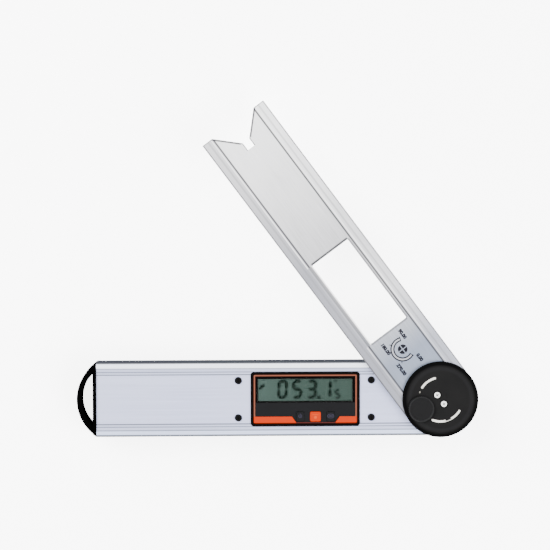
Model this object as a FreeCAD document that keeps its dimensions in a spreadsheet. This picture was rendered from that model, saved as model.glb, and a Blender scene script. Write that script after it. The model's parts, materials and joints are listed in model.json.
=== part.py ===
"""Digital protractor: a base arm with a display and a blade arm that turn on one hub.

Millimetres. The origin is on the pivot axis at the rear rest plane, +Z points to the display
side, the base lies along -X, and the blade stands open_angle away from it.
"""

import FreeCAD, Part
import os
import re
import Sketcher

# Every size that can be set by itself.
SIZES = {
    # Arms
    "open_angle": 53.15,
    "base_length": 249.5,
    "base_width": 53.8,
    "base_depth": 22.0,
    "base_side_wall": 3.0,
    "base_web": 2.0,
    "base_recess": 1.0,
    "base_edge": 0.3,
    "rail_land": 4.35,
    "rail_step_width": 4.55,
    "rail_step": 0.5,
    "rail_line_inset": 1.95,
    "rail_line_width": 0.5,
    "rail_line_depth": 0.25,
    "blade_length": 250.0,
    "blade_width": 54.6,
    "blade_depth": 5.5,
    "blade_rail": 8.6,
    "blade_recess": 0.8,
    "blade_web": 2.2,
    "blade_edge": 0.4,
    "blade_line_inset": 4.8,
    "blade_line_width": 0.5,
    "blade_line_depth": 0.12,
    "blade_round_shift": 4.5,
    "arm_gap": 0.4,
    "window_start": 62.3,
    "window_length": 71.2,
    "window_width": 32.0,
    "window_corner": 0.8,
    "notch_half_angle": 45.0,
    "notch_slot_width": 5.8,
    "notch_slot_depth": 6.2,
    # Hub cap and lock
    "cap_overhang": 0.7,
    "cap_slope": 4.55,
    "cap_height": 2.4,
    "cap_rim_height": 1.2,
    "cap_rim_round": 0.5,
    "cap_boss_diameter": 18.4,
    "cap_screw_spacing": 8.1,
    "cap_screw_recess": 6.0,
    "cap_screw_sink": 1.2,
    "cap_screw_head": 4.4,
    "cap_screw_thread": 3.0,
    "cap_screw_grip": 8.0,
    "arc_width": 1.8,
    "arc_radius": 16.0,
    "arc_front_start": -22.0,
    "arc_front_end": 20.0,
    "arc_short_width": 1.5,
    "arc_short_start": 33.0,
    "arc_short_end": 34.0,
    "arc_rear_start": 122.2,
    "arc_rear_end": 201.7,
    "arc_depth": 0.7,
    "nib_angle": 164.6,
    "nib_width": 4.0,
    "nib_height": 0.9,
    "slot_ring_thickness": 0.5,
    "slot_ring_inner": 19.0,
    "slot_ring_outer": 36.2,
    "knob_angle": 78.8,
    "knob_place": 15.6,
    "knob_diameter": 19.0,
    "knob_height": 1.7,
    "knob_gap": 0.2,
    "knob_edge": 0.4,
    "knob_rim": 1.5,
    "knob_dish": 0.5,
    "knob_flute": 0.45,
    "knob_flute_count": 36,
    "stud_diameter": 4.0,
    "stud_in_knob": 0.7,
    "stud_chamfer": 0.4,
    "lock_lift": 0.35,
    "shoe_half_span": 14.0,
    "shoe_floor_gap": 0.2,
    "shoe_lock_gap": 0.05,
    "shoe_side_gap": 0.4,
    # Pivot
    "shaft_diameter": 14.0,
    "shaft_fit": 0.05,
    "bush_wall": 1.5,
    "bush_flange": 0.8,
    "bush_flange_diameter": 20.8,
    "washer_inner": 14.8,
    "washer_outer": 24.8,
    "spindle_flange": 24.8,
    "pin_diameter": 2.5,
    "pin_place": 9.9,
    "pin_sink": 2.0,
    "ring_margin": 4.25,
    "ring_inner": 21.0,
    "ring_lip": 3.4,
    "ring_floor": 2.0,
    "groove_height": 2.6,
    "groove_undercut": 1.6,
    "housing_floor": 2.0,
    "housing_inset": 0.5,
    "carrier_gap": 8.6,
    "neck_diameter": 10.0,
    "neck_start": 0.3,
    "spring_height": 1.1,
    "spring_sheet": 0.6,
    "spring_outer": 18.8,
    "rear_washer_thickness": 0.7,
    "retainer_thickness": 0.9,
    "retainer_depth": 0.5,
    "retainer_outer": 15.0,
    "rotor_drop": 0.9,
    "rotor_seat_diameter": 6.8,
    "rotor_margin": 2.5,
    "rotor_thickness": 0.8,
    "rotor_window_count": 12,
    "rotor_window_half": 5.0,
    "rotor_window_length": 4.0,
    "rotor_window_margin": 2.0,
    "rotor_screw_head": 9.0,
    "rotor_screw_height": 1.4,
    "rotor_screw_thread": 3.0,
    "rotor_screw_grip": 4.6,
    "encoder_gap": 0.4,
    "stator_inner": 14.0,
    "stator_margin": 2.5,
    "stator_thickness": 1.6,
    "stator_ledge": 1.4,
    "rear_cover_margin": 2.25,
    "rear_cover_thickness": 1.8,
    "rear_screw_inset": 2.2,
    "small_screw_head": 3.8,
    "small_screw_height": 1.0,
    "small_screw_sink": 1.2,
    "small_screw_thread": 2.0,
    "small_screw_grip": 4.0,
    "housing_screw_inset": 6.5,
    "housing_screw_side": 12.0,
    "cross_reach_share": 0.28,
    "cross_blade_share": 0.08,
    "cross_depth_share": 0.6,
    "head_chamfer_share": 0.25,
    # End cap
    "end_plate": 2.7,
    "end_reach": 14.4,
    "end_hole_reach": 8.0,
    "end_hole_height": 37.6,
    "end_loop_inset": 0.8,
    "end_loop_round": 1.5,
    "plug_length": 12.0,
    "plug_pocket_width": 15.0,
    "plug_pocket_depth": 10.0,
    "plug_rib": 3.0,
    "plug_wall": 2.0,
    "end_screw_place": 6.0,
    "end_screw_side": 20.6,
    # Display module
    "display_place": 97.8,
    "bezel_width": 79.3,
    "bezel_height": 39.4,
    "bezel_corner": 2.2,
    "bezel_sink": 0.6,
    "bezel_below": 0.1,
    "bezel_rim": 0.7,
    "bezel_plate": 1.2,
    "skirt_width": 73.2,
    "skirt_height": 34.8,
    "skirt_wall": 0.7,
    "skirt_depth": 3.0,
    "trim_width": 75.7,
    "trim_height": 36.1,
    "trim_corner": 1.8,
    "trim_side": 1.4,
    "trim_top": 1.6,
    "trim_bottom": 5.3,
    "trim_thickness": 0.8,
    "trim_edge": 0.2,
    "bulge_place": 7.65,
    "bulge_top_width": 34.8,
    "bulge_bottom_width": 28.8,
    "bulge_depth": 4.25,
    "lcd_window_width": 68.9,
    "lcd_window_height": 16.2,
    "lcd_window_up": 6.5,
    "lcd_window_side": 0.1,
    "lens_ledge": 0.8,
    "lens_thickness": 0.8,
    "lens_stand": 0.3,
    "overlay_thickness": 0.4,
    "lcd_width": 71.0,
    "lcd_height": 19.0,
    "lcd_thickness": 2.0,
    "lcd_rear_glass": 0.9,
    "lcd_ledge": 2.2,
    "board_gap": 2.3,
    "zebra_width": 1.4,
    "zebra_length": 62.0,
    "button_place": 7.35,
    "button_down": 12.9,
    "button_pitch": 11.1,
    "button_middle_width": 7.8,
    "button_side_width": 5.6,
    "button_height": 7.2,
    "button_corner": 1.0,
    "button_stand": 0.5,
    "button_round": 0.25,
    "button_travel": 0.5,
    "button_shoulder": 0.8,
    "button_shoulder_height": 1.1,
    "button_stem": 3.0,
    "switch_width": 5.2,
    "switch_height": 1.3,
    "switch_case": 0.9,
    "component_height": 0.95,
    "board_width": 70.0,
    "board_height": 31.8,
    "board_thickness": 1.6,
    "peg_diameter": 2.4,
    "peg_span": 62.0,
    "peg_down": 12.2,
    "peg_stand": 0.6,
    "carrier_side": 1.9,
    "carrier_height": 42.0,
    "carrier_corner": 4.0,
    "carrier_plate": 1.6,
    "carrier_rim": 1.6,
    "carrier_rim_height": 3.2,
    "carrier_boss": 6.4,
    "display_screw_place": 98.1,
    "display_screw_span": 96.8,
    "display_screw_inset": 4.4,
    "display_screw_head": 4.8,
    "display_screw_height": 1.2,
    "display_screw_thread": 2.5,
    "display_screw_grip": 6.0,
    # Battery
    "battery_place": 120.0,
    "battery_diameter": 20.0,
    "battery_thickness": 3.2,
    "battery_chamfer": 0.5,
    "battery_cap_inset": 1.8,
    "battery_gap": 0.2,
    "cup_gap": 0.4,
    "cup_wall": 1.8,
    "cup_lift": 1.3,
    "battery_cover_diameter": 23.6,
    "battery_cover_hub": 22.0,
    "battery_cover_rise": 2.4,
    "battery_cover_gap": 0.3,
    "bayonet_reach": 1.5,
    "bayonet_height": 1.0,
    "bayonet_half_span": 20.0,
    "bayonet_turn": 50.0,
    "coin_slot_width": 1.8,
    "coin_slot_length": 15.0,
    "coin_slot_depth": 0.9,
    "seal_section": 1.2,
    "seal_squeeze": 0.05,
    "contact_sheet": 0.3,
    "contact_width": 4.0,
    "leaf_root": 5.0,
    "leaf_bend": 2.5,
    "leaf_tip": 5.6,
    # Cable and clearances
    "cable_sheet": 0.3,
    "cable_width": 8.0,
    "cable_bend": 3.5,
    "fit": 0.1,
    "loose": 0.2,
    "running": 0.3,
}

# Sizes that follow from the driving ones.
DERIVED = {
    "base_half": "base_width/2",
    "cavity_half": "base_half - base_side_wall",
    "web_rear_inner": "base_recess + base_web",
    "web_front": "base_depth - base_recess",
    "web_front_inner": "web_front - base_web",
    "land_half": "base_half - rail_land",
    "recess_half": "land_half - rail_step_width",
    "rail_line": "recess_half + rail_line_inset",
    "step_level": "base_depth - rail_step",
    "blade_half": "blade_width/2",
    "blade_heading": "180 - open_angle",
    "blade_under": "base_depth + arm_gap",
    "blade_top": "blade_under + blade_depth",
    "blade_web_top": "blade_top - blade_recess",
    "blade_web_under": "blade_web_top - blade_web",
    "blade_recess_half": "blade_half - blade_rail",
    "blade_line": "blade_half - blade_line_inset",
    "notch_depth": "(blade_recess_half - notch_slot_width/2)/tan(notch_half_angle)",
    "cap_diameter": "base_width + 2*cap_overhang",
    "cap_flat_diameter": "cap_diameter - 2*cap_slope",
    "cap_top": "blade_top + cap_height",
    "slot_ring_top": "blade_web_top + slot_ring_thickness",
    "knob_bottom": "cap_top + knob_gap",
    "knob_top": "knob_bottom + knob_height",
    "knob_heading": "blade_heading + knob_angle",
    "stud_radius": "stud_diameter/2",
    "stud_pass": "stud_radius + running",
    "groove_half": "stud_radius + shoe_side_gap",
    "undercut_half": "groove_half + groove_undercut",
    "groove_roof": "base_depth - ring_lip",
    "groove_floor": "groove_roof - groove_height",
    "ring_bottom": "groove_floor - ring_floor",
    "shoe_bottom": "groove_floor + shoe_floor_gap",
    "shoe_top": "groove_roof - lock_lift - shoe_lock_gap",
    "ring_outer": "base_width - 2*ring_margin",
    "stator_outer": "ring_outer - 2*stator_margin",
    "rotor_diameter": "stator_outer - 2*rotor_margin",
    "rear_cover_diameter": "base_width - 2*rear_cover_margin",
    "rear_cover_screw_place": "rear_cover_diameter/2 - rear_screw_inset",
    "carrier_width": "display_screw_span + carrier_boss + 2*carrier_side",
    "display_screw_rise": "2*(recess_half - display_screw_inset)",
    "housing_tail": "display_screw_place - carrier_width/2 - carrier_gap",
    "housing_screw_place": "housing_tail - housing_screw_inset",
    "shaft_radius": "shaft_diameter/2",
    "bush_radius": "shaft_radius + shaft_fit + bush_wall",
    "floor_under": "ring_bottom - housing_floor",
    "spring_bottom": "floor_under - spring_height",
    "rear_washer_bottom": "spring_bottom - rear_washer_thickness",
    "retainer_bottom": "rear_washer_bottom - retainer_thickness",
    "rotor_top": "retainer_bottom - rotor_drop",
    "rotor_bottom": "rotor_top - rotor_thickness",
    "stator_top": "rotor_bottom - encoder_gap",
    "stator_bottom": "stator_top - stator_thickness",
    "stator_pocket": "stator_outer/2 + fit",
    "neck_radius": "neck_diameter/2",
    "bezel_seat": "web_front - bezel_sink",
    "bezel_top": "base_depth - bezel_below",
    "bezel_face": "bezel_top - bezel_rim",
    "bezel_under": "bezel_face - bezel_plate",
    "overlay_top": "bezel_face + overlay_thickness",
    "lens_top": "bezel_face + lens_stand",
    "lcd_top": "bezel_under - fit",
    "lcd_bottom": "lcd_top - lcd_thickness",
    "lcd_up": "lcd_window_up - loose",
    "board_top": "lcd_bottom - board_gap",
    "board_bottom": "board_top - board_thickness",
    "carrier_under": "board_bottom - carrier_plate",
    "switch_top": "board_top + switch_height",
    "button_top": "overlay_top + button_stand",
    "shoulder_top": "bezel_under - shaft_fit",
    "shoulder_bottom": "shoulder_top - button_shoulder_height",
    "stem_bottom": "switch_top + button_travel + shaft_fit",
    "trim_inner_width": "trim_width - 2*trim_side",
    "trim_inner_top": "trim_height/2 - trim_top",
    "trim_inner_bottom": "trim_bottom - trim_height/2",
    "battery_cover_inner": "web_rear_inner + battery_cover_rise",
    "battery_bottom": "battery_cover_inner + battery_gap",
    "battery_top": "battery_bottom + battery_thickness",
    "cup_bottom": "web_rear_inner + cup_lift",
    "cup_radius": "battery_diameter/2 + cup_gap",
    "seal_radius": "battery_cover_hub/2 + 2*loose - seal_section/2",
    "web_hole": "battery_cover_diameter/2 + battery_cover_gap",
    "screw_hole": "small_screw_thread/2 + fit",
    "small_head_hole": "small_screw_head/2 + fit",
}

doc = FreeCAD.newDocument("DigitalProtractor")
sheet = doc.addObject("Spreadsheet::Sheet", "Sizes")
for row, (alias, size) in enumerate(SIZES.items(), start=1):
    sheet.set(f"A{row}", alias)
    sheet.set(f"B{row}", str(size))
    sheet.setAlias(f"B{row}", alias)
doc.recompute()

WORD = re.compile(r"[A-Za-z_][A-Za-z_0-9]*")
nodes = []


def bind(text):
    """The expression with each size's name turned into its cell of the sheet."""
    def swap(match):
        word = match.group()
        if word in DERIVED:
            return f"({bind(DERIVED[word])})"
        return f"Sizes.{word}" if word in SIZES else word
    return WORD.sub(swap, str(text))


def number(text):
    """The expression's value in millimetres or degrees."""
    return float(sheet.evalExpression(bind(text)))


def origin_feature(body, role):
    """A plane or axis of the body's own origin."""
    return next(item for item in body.Origin.OriginFeatures if item.Role == role)


def place(node, x="0", y="0", heading="0"):
    """Tie a node's placement to the sheet: a turn about Z and a shift in the XY plane."""
    node.setExpression("Placement.Base.x", bind(x))
    node.setExpression("Placement.Base.y", bind(y))
    node.setExpression("Placement.Rotation.Angle", bind(heading))


def new_body(label, **where):
    """A sub-part of its own."""
    body = doc.addObject("PartDesign::Body", label)
    body.Label = label
    place(body, **where)
    nodes.append(body)
    return body


def sketch(body, role, lift="0"):
    """A sketch on an origin plane, moved along the plane's normal by lift."""
    count = len(body.Group)
    drawing = body.newObject("Sketcher::SketchObject", f"{body.Label}_sketch_{count}")
    drawing.AttachmentSupport = [(origin_feature(body, role), "")]
    drawing.MapMode = "FlatFace"
    drawing.setExpression("AttachmentOffset.Base.z", bind(lift))
    return drawing


def fix(drawing, geometry, vertex, axis, text):
    """Hold one coordinate of a sketch point at an expression's value."""
    kind = "DistanceX" if axis == 0 else "DistanceY"
    rule = Sketcher.Constraint(kind, -1, 1, geometry, vertex, number(text))
    index = drawing.addConstraint(rule)
    drawing.setExpression(f"Constraints[{index}]", bind(text))


def loop(drawing, points):
    """A closed outline. A point is (x, y), or (x, y, centre x, centre y, turn) where an arc
    leaves it: turn is 1 for counter-clockwise and -1 for clockwise."""
    corners = [FreeCAD.Vector(number(p[0]), number(p[1]), 0) for p in points]
    first = drawing.GeometryCount
    ends = []
    for index, point in enumerate(points):
        start = corners[index]
        end = corners[(index + 1) % len(points)]
        if len(point) == 2:
            drawing.addGeometry(Part.LineSegment(start, end))
            ends.append((1, 2))
            continue
        centre = FreeCAD.Vector(number(point[2]), number(point[3]), 0)
        middle = arc_middle(start, end, centre, point[4])
        if point[4] > 0:
            drawing.addGeometry(Part.Arc(start, middle, end))
            ends.append((1, 2))
        else:
            drawing.addGeometry(Part.Arc(end, middle, start))
            ends.append((2, 1))
    for index, point in enumerate(points):
        here = first + index
        after = (index + 1) % len(points)
        rule = Sketcher.Constraint("Coincident", here, ends[index][1], first + after, ends[after][0])
        drawing.addConstraint(rule)
        fix(drawing, here, ends[index][0], 0, point[0])
        fix(drawing, here, ends[index][0], 1, point[1])
    for index, point in enumerate(points):
        if len(point) > 2:
            chord = corners[(index + 1) % len(points)] - corners[index]
            axis = 0 if abs(chord.y) > abs(chord.x) else 1
            fix(drawing, first + index, 3, axis, point[2 + axis])


def arc_middle(start, end, centre, turn):
    """The middle point of the arc from start to end about centre."""
    outward = (end - start).cross(FreeCAD.Vector(0, 0, 1)).normalize()
    return centre + outward * (turn * (start - centre).Length)


def circle(drawing, x, y, radius):
    """A circle held at (x, y)."""
    centre = FreeCAD.Vector(number(x), number(y), 0)
    index = drawing.addGeometry(Part.Circle(centre, FreeCAD.Vector(0, 0, 1), number(radius)))
    fix(drawing, index, 3, 0, x)
    fix(drawing, index, 3, 1, y)
    rule = drawing.addConstraint(Sketcher.Constraint("Radius", index, number(radius)))
    drawing.setExpression(f"Constraints[{rule}]", bind(radius))


def box_points(x, y, width, height):
    """The corners of a rectangle centred on (x, y)."""
    left, right = f"{x} - ({width})/2", f"{x} + ({width})/2"
    low, high = f"{y} - ({height})/2", f"{y} + ({height})/2"
    return [(left, low), (right, low), (right, high), (left, high)]


def rounded_points(x, y, width, height, radius):
    """A rectangle centred on (x, y) with its corners rounded."""
    left, right = f"{x} - ({width})/2", f"{x} + ({width})/2"
    low, high = f"{y} - ({height})/2", f"{y} + ({height})/2"
    near_left, near_right = f"{left} + {radius}", f"{right} - {radius}"
    near_low, near_high = f"{low} + {radius}", f"{high} - {radius}"
    return [
        (near_left, low),
        (near_right, low, near_right, near_low, 1),
        (right, near_low),
        (right, near_high, near_right, near_high, 1),
        (near_right, high),
        (near_left, high, near_left, near_high, 1),
        (left, near_high),
        (left, near_low, near_left, near_low, 1),
    ]


def arc_points(inner, outer, start, end, round_ends):
    """A band about the origin from angle start to angle end, with flat or round ends."""
    def polar(radius, angle):
        return (f"({radius})*cos({angle})", f"({radius})*sin({angle})")
    middle = f"(({inner}) + ({outer}))/2"
    end_arc = (*polar(middle, end), 1) if round_ends else ()
    start_arc = (*polar(middle, start), 1) if round_ends else ()
    return [
        (*polar(outer, start), "0", "0", 1),
        (*polar(outer, end), *end_arc),
        (*polar(inner, end), "0", "0", -1),
        (*polar(inner, start), *start_arc),
    ]


def mirrored_section(half):
    """A section's outline from its points on the +Y side, in order."""
    return half + [(f"-({y})", z) for y, z in reversed(half)]


def pad(body, drawing, length, down=False):
    """Grow the sketch along its normal, or against it."""
    feature = body.newObject("PartDesign::Pad", f"{drawing.Name}_pad")
    feature.Profile = drawing
    feature.setExpression("Length", bind(length))
    feature.Reversed = down
    drawing.Visibility = False
    doc.recompute()
    return feature


def pocket(body, drawing, length, up=False):
    """Cut the sketch against its normal, or along it, and see that it removes something."""
    before = body.Shape.Volume
    feature = body.newObject("PartDesign::Pocket", f"{drawing.Name}_pocket")
    feature.Profile = drawing
    feature.setExpression("Length", bind(length))
    feature.Reversed = up
    doc.recompute()
    if not body.Shape.Volume < before:
        raise RuntimeError(f"{feature.Name} cuts nothing")
    return feature


def turned(label, profile, **where):
    """A body turned about Z from its (radius, height) outline."""
    body = new_body(label, **where)
    drawing = sketch(body, "XZ_Plane")
    loop(drawing, profile)
    feature = body.newObject("PartDesign::Revolution", f"{label}_turn")
    feature.Profile = drawing
    feature.ReferenceAxis = (origin_feature(body, "Z_Axis"), [""])
    feature.Angle = 360
    doc.recompute()
    return body


def ring_profile(inner, outer, low, high):
    """The section of a plain ring."""
    return [(inner, low), (outer, low), (outer, high), (inner, high)]


def soften(body, kind, size, pick):
    """Fillet or chamfer the edges of the body's tip that pick accepts."""
    tip = body.Tip
    names = [f"Edge{i}" for i, edge in enumerate(tip.Shape.Edges, start=1) if pick(edge)]
    feature = body.newObject(f"PartDesign::{kind}", f"{body.Label}_{kind.lower()}_{len(body.Group)}")
    feature.Base = (tip, names)
    feature.setExpression("Radius" if kind == "Fillet" else "Size", bind(size))
    doc.recompute()
    return feature


def polar_pattern(body, feature, count):
    """Repeat a feature evenly round Z."""
    pattern = body.newObject("PartDesign::PolarPattern", f"{feature.Name}_round")
    pattern.Originals = [feature]
    pattern.Axis = (origin_feature(body, "Z_Axis"), [""])
    pattern.Angle = 360
    pattern.Occurrences = count
    body.Tip = pattern
    doc.recompute()
    return pattern


def holes(body, spots, radius, level, depth, up=False):
    """Round holes at the spots, cut down from level, or up."""
    drawing = sketch(body, "XY_Plane", level)
    for x, y in spots:
        circle(drawing, x, y, radius)
    return pocket(body, drawing, depth, up)


def studs(body, spots, radius, level, length, down=False):
    """Round studs at the spots, grown up from level, or down."""
    drawing = sketch(body, "XY_Plane", level)
    for x, y in spots:
        circle(drawing, x, y, radius)
    return pad(body, drawing, length, down)


def cross_points(x, y, reach, blade):
    """A cross recess centred on (x, y)."""
    signs = [(1, 1), (-1, 1), (-1, -1), (1, -1)]
    points = []
    for turn, (sx, sy) in enumerate(signs):
        arm = (f"{x} + {sx}*{reach}", f"{y} + {sy}*{blade}")
        inner = (f"{x} + {sx}*{blade}", f"{y} + {sy}*{blade}")
        tip = (f"{x} + {sx}*{blade}", f"{y} + {sy}*{reach}")
        points += [arm, inner, tip] if turn % 2 == 0 else [tip, inner, arm]
    return points


def screws(label, spots, head, head_height, thread, grip, face, rear=False, **where):
    """Cross-recess screws in one node: heads whose top is at face, threads below or above."""
    body = new_body(label, **where)
    seat = f"{face} + {head_height}" if rear else f"{face} - ({head_height})"
    studs(body, spots, f"({head})/2", seat, head_height, down=rear)
    chamfer = f"({head_height})*head_chamfer_share"
    soften(body, "Chamfer", chamfer, lambda edge: on_level(edge, face))
    drawing = sketch(body, "XY_Plane", face)
    for x, y in spots:
        loop(drawing, cross_points(x, y, f"({head})*cross_reach_share", f"({head})*cross_blade_share"))
    pocket(body, drawing, f"({head_height})*cross_depth_share", up=rear)
    studs(body, spots, f"({thread})/2", seat, grip, down=not rear)
    return body


def on_level(edge, level):
    """Whether the whole edge lies in the plane at that height."""
    height = number(level)
    return all(abs(vertex.Z - height) < 1e-4 for vertex in edge.Vertexes)


def bent_strip(label, path, sheet_metal, width, **where):
    """A strip folded along a path of (x, z) points, the path being its lower or left face."""
    side = -number(width) / 2
    points = [FreeCAD.Vector(number(x), side, number(z)) for x, z in path]
    thick = number(sheet_metal)
    far = []
    for index, point in enumerate(points):
        runs = []
        if index > 0:
            runs.append((point - points[index - 1]).normalize())
        if index < len(points) - 1:
            runs.append((points[index + 1] - point).normalize())
        sides = [FreeCAD.Vector(-run.z, 0, run.x) for run in runs]
        middle = (sides[0] + sides[-1]).normalize()
        far.append(point + middle * (thick / middle.dot(sides[0])))
    outline = Part.makePolygon(points + far[::-1] + [points[0]])
    solid = Part.Face(outline).extrude(FreeCAD.Vector(0, number(width), 0))
    node = doc.addObject("Part::Feature", label)
    node.Label = label
    node.Shape = solid
    place(node, **where)
    nodes.append(node)
    return node


def rear_cover_spots():
    """Three screws round the rear hub cover."""
    spots = []
    for angle in (0, 120, 240):
        spots.append((f"rear_cover_screw_place*cos({angle})", f"rear_cover_screw_place*sin({angle})"))
    return spots


HOUSING_SPOTS = [
    ("-housing_screw_place", "housing_screw_side"),
    ("-housing_screw_place", "-housing_screw_side"),
]
END_SPOTS = [("end_screw_place", "end_screw_side"), ("end_screw_place", "-end_screw_side")]
DISPLAY_SPOTS = box_points("0", "0", "display_screw_span", "display_screw_rise")
CAP_SPOTS = [("cap_screw_spacing/2", "0"), ("-cap_screw_spacing/2", "0")]
PIN_SPOTS = [("0", "pin_place"), ("0", "-pin_place")]
PEG_SPOTS = [("peg_span/2", "-peg_down"), ("-peg_span/2", "-peg_down")]
BUTTONS = {
    "button_left": ("button_place - button_pitch", "button_side_width"),
    "button_middle": ("button_place", "button_middle_width"),
    "button_right": ("button_place + button_pitch", "button_side_width"),
}
KNOB_SPOT = [("knob_place*cos(knob_angle)", "knob_place*sin(knob_angle)")]
# Centre x, centre y, width and depth of the pieces soldered to the board.
COMPONENTS = [
    (-17.0, 2.2, 11.0, 5.0),
    (5.5, 2.2, 5.5, 2.2),
    (17.0, 0.8, 4.0, 1.6),
    (-31.0, 2.2, 2.8, 3.0),
]
# Width, start and end of each slot of the hub cap.
ARCS = [
    ("arc_width", "arc_front_start", "arc_front_end"),
    ("arc_short_width", "arc_short_start", "arc_short_end"),
    ("arc_width", "arc_rear_start", "arc_rear_end"),
]


def shifted(spots, x):
    """The same spots moved along X."""
    return [(f"{x} + {spot[0]}", spot[1]) for spot in spots]


def base_extrusion():
    """Hollow extrusion with raised rails on both faces, rounded at the hub, open at the far end."""
    body = new_body("base_extrusion")
    half = [
        ("recess_half", "base_recess"),
        ("recess_half", "0"),
        ("base_half - base_edge", "0"),
        ("base_half", "base_edge"),
        ("base_half", "base_depth - base_edge"),
        ("base_half - base_edge", "base_depth"),
        ("land_half", "base_depth"),
        ("land_half", "step_level"),
        ("rail_line + rail_line_width/2", "step_level"),
        ("rail_line", "step_level - rail_line_depth"),
        ("rail_line - rail_line_width/2", "step_level"),
        ("recess_half", "step_level"),
        ("recess_half", "web_front"),
    ]
    section = sketch(body, "YZ_Plane", "base_half")
    loop(section, mirrored_section(half))
    cavity = "web_front_inner - web_rear_inner"
    loop(section, box_points("0", "(web_front_inner + web_rear_inner)/2", "2*cavity_half", cavity))
    pad(body, section, "base_length + base_half", down=True)

    beyond = "base_half + base_side_wall"
    corner = sketch(body, "XY_Plane", "base_depth")
    loop(corner, [
        ("0", f"-({beyond})"),
        ("0", "-base_half", "0", "0", 1),
        ("0", "base_half"),
        ("0", beyond),
        (beyond, beyond),
        (beyond, f"-({beyond})"),
    ])
    pocket(body, corner, "base_depth")

    wall = "base_depth - web_front_inner"
    holes(body, [("0", "0")], "ring_outer/2 + loose", "base_depth", wall)
    holes(body, [("0", "0")], "rear_cover_diameter/2 + loose", "0", "rear_cover_thickness", up=True)
    holes(body, [("0", "0")], "stator_pocket", "0", "web_rear_inner", up=True)
    holes(body, rear_cover_spots(), "screw_hole", "0", "web_rear_inner", up=True)
    holes(body, HOUSING_SPOTS, "screw_hole", "0", "web_rear_inner", up=True)
    holes(body, HOUSING_SPOTS, "small_head_hole", "0", "base_recess + small_screw_sink", up=True)
    end_spots = shifted(END_SPOTS, "-base_length")
    holes(body, end_spots, "screw_hole", "0", "web_rear_inner", up=True)
    holes(body, end_spots, "small_head_hole", "0", "small_screw_sink", up=True)
    screw_spots = shifted(DISPLAY_SPOTS, "-display_screw_place")
    holes(body, screw_spots, "display_screw_thread/2 + fit", "base_depth", wall)

    seat = sketch(body, "XY_Plane", "base_depth")
    loop(seat, rounded_points(
        "-display_place", "0", "bezel_width + 2*loose", "bezel_height + 2*loose", "bezel_corner"))
    pocket(body, seat, "base_depth - bezel_seat")
    opening = sketch(body, "XY_Plane", "bezel_seat")
    loop(opening, box_points(
        "-display_place", "0", "skirt_width + 2*loose", "skirt_height + 2*loose"))
    pocket(body, opening, "bezel_seat - web_front_inner")

    holes(body, [("-battery_place", "0")], "web_hole", "0", "web_rear_inner", up=True)
    reach = "web_hole + bayonet_reach"
    span = "bayonet_half_span + bayonet_reach"
    for side in ("0", "180"):
        notch = sketch(body, "XY_Plane")
        middle = f"{side} - bayonet_turn"
        band = arc_points("web_hole/2", reach, f"{middle} - ({span})", f"{middle} + {span}", False)
        moved = []
        for point in band:
            shift = (f"-battery_place + {point[0]}", point[1])
            moved.append(shift if len(point) == 2 else (*shift, "-battery_place", "0", point[4]))
        loop(notch, moved)
        pocket(body, notch, "web_rear_inner", up=True)
    return body


def end_cap():
    """Cap on the plain end with a D-shaped hanging loop and a ribbed plug inside the base."""
    body = new_body("end_cap", x="-base_length")
    outer = "(base_half^2 + end_reach^2)/(2*end_reach)"
    plate = sketch(body, "XY_Plane")
    loop(plate, [
        ("0", "base_half", f"{outer} - end_reach", "0", 1),
        ("0", "-base_half"),
    ])
    pad(body, plate, "base_depth")
    for level, up in (("base_depth", False), ("0", True)):
        relief = sketch(body, "XY_Plane", level)
        loop(relief, [
            ("-end_plate", "-base_width"),
            ("-end_plate", "base_width"),
            ("-2*end_reach", "base_width"),
            ("-2*end_reach", "-base_width"),
        ])
        pocket(body, relief, "end_loop_inset", up)
    rim = number("end_reach")
    soften(body, "Fillet", "end_loop_round", lambda edge: (
        edge.Curve.TypeId == "Part::GeomCircle"
        and abs(edge.BoundBox.XMin + rim) < 1e-3
        and edge.BoundBox.ZLength < 1e-3))

    hole_half = "end_hole_height/2"
    inner = f"(({hole_half})^2 + end_hole_reach^2)/(2*end_hole_reach)"
    gap = sketch(body, "XY_Plane", "base_depth")
    loop(gap, [
        ("-end_plate", hole_half, f"{inner} - end_hole_reach - end_plate", "0", 1),
        ("-end_plate", f"-{hole_half}"),
    ])
    pocket(body, gap, "base_depth")

    plug = sketch(body, "YZ_Plane")
    height = "web_front_inner - web_rear_inner - 2*fit"
    middle = "(web_front_inner + web_rear_inner)/2"
    loop(plug, box_points("0", middle, "2*(cavity_half - fit)", height))
    pad(body, plug, "plug_length")
    hollow = sketch(body, "YZ_Plane", "plug_length")
    for side in ("", "-"):
        across = f"{side}(plug_rib + plug_pocket_width)/2"
        loop(hollow, box_points(across, middle, "plug_pocket_width", f"{height} - 2*plug_wall"))
    pocket(body, hollow, "plug_pocket_depth")
    holes(body, END_SPOTS, "screw_hole", "0", "web_rear_inner + small_screw_grip", up=True)
    return body


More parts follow.
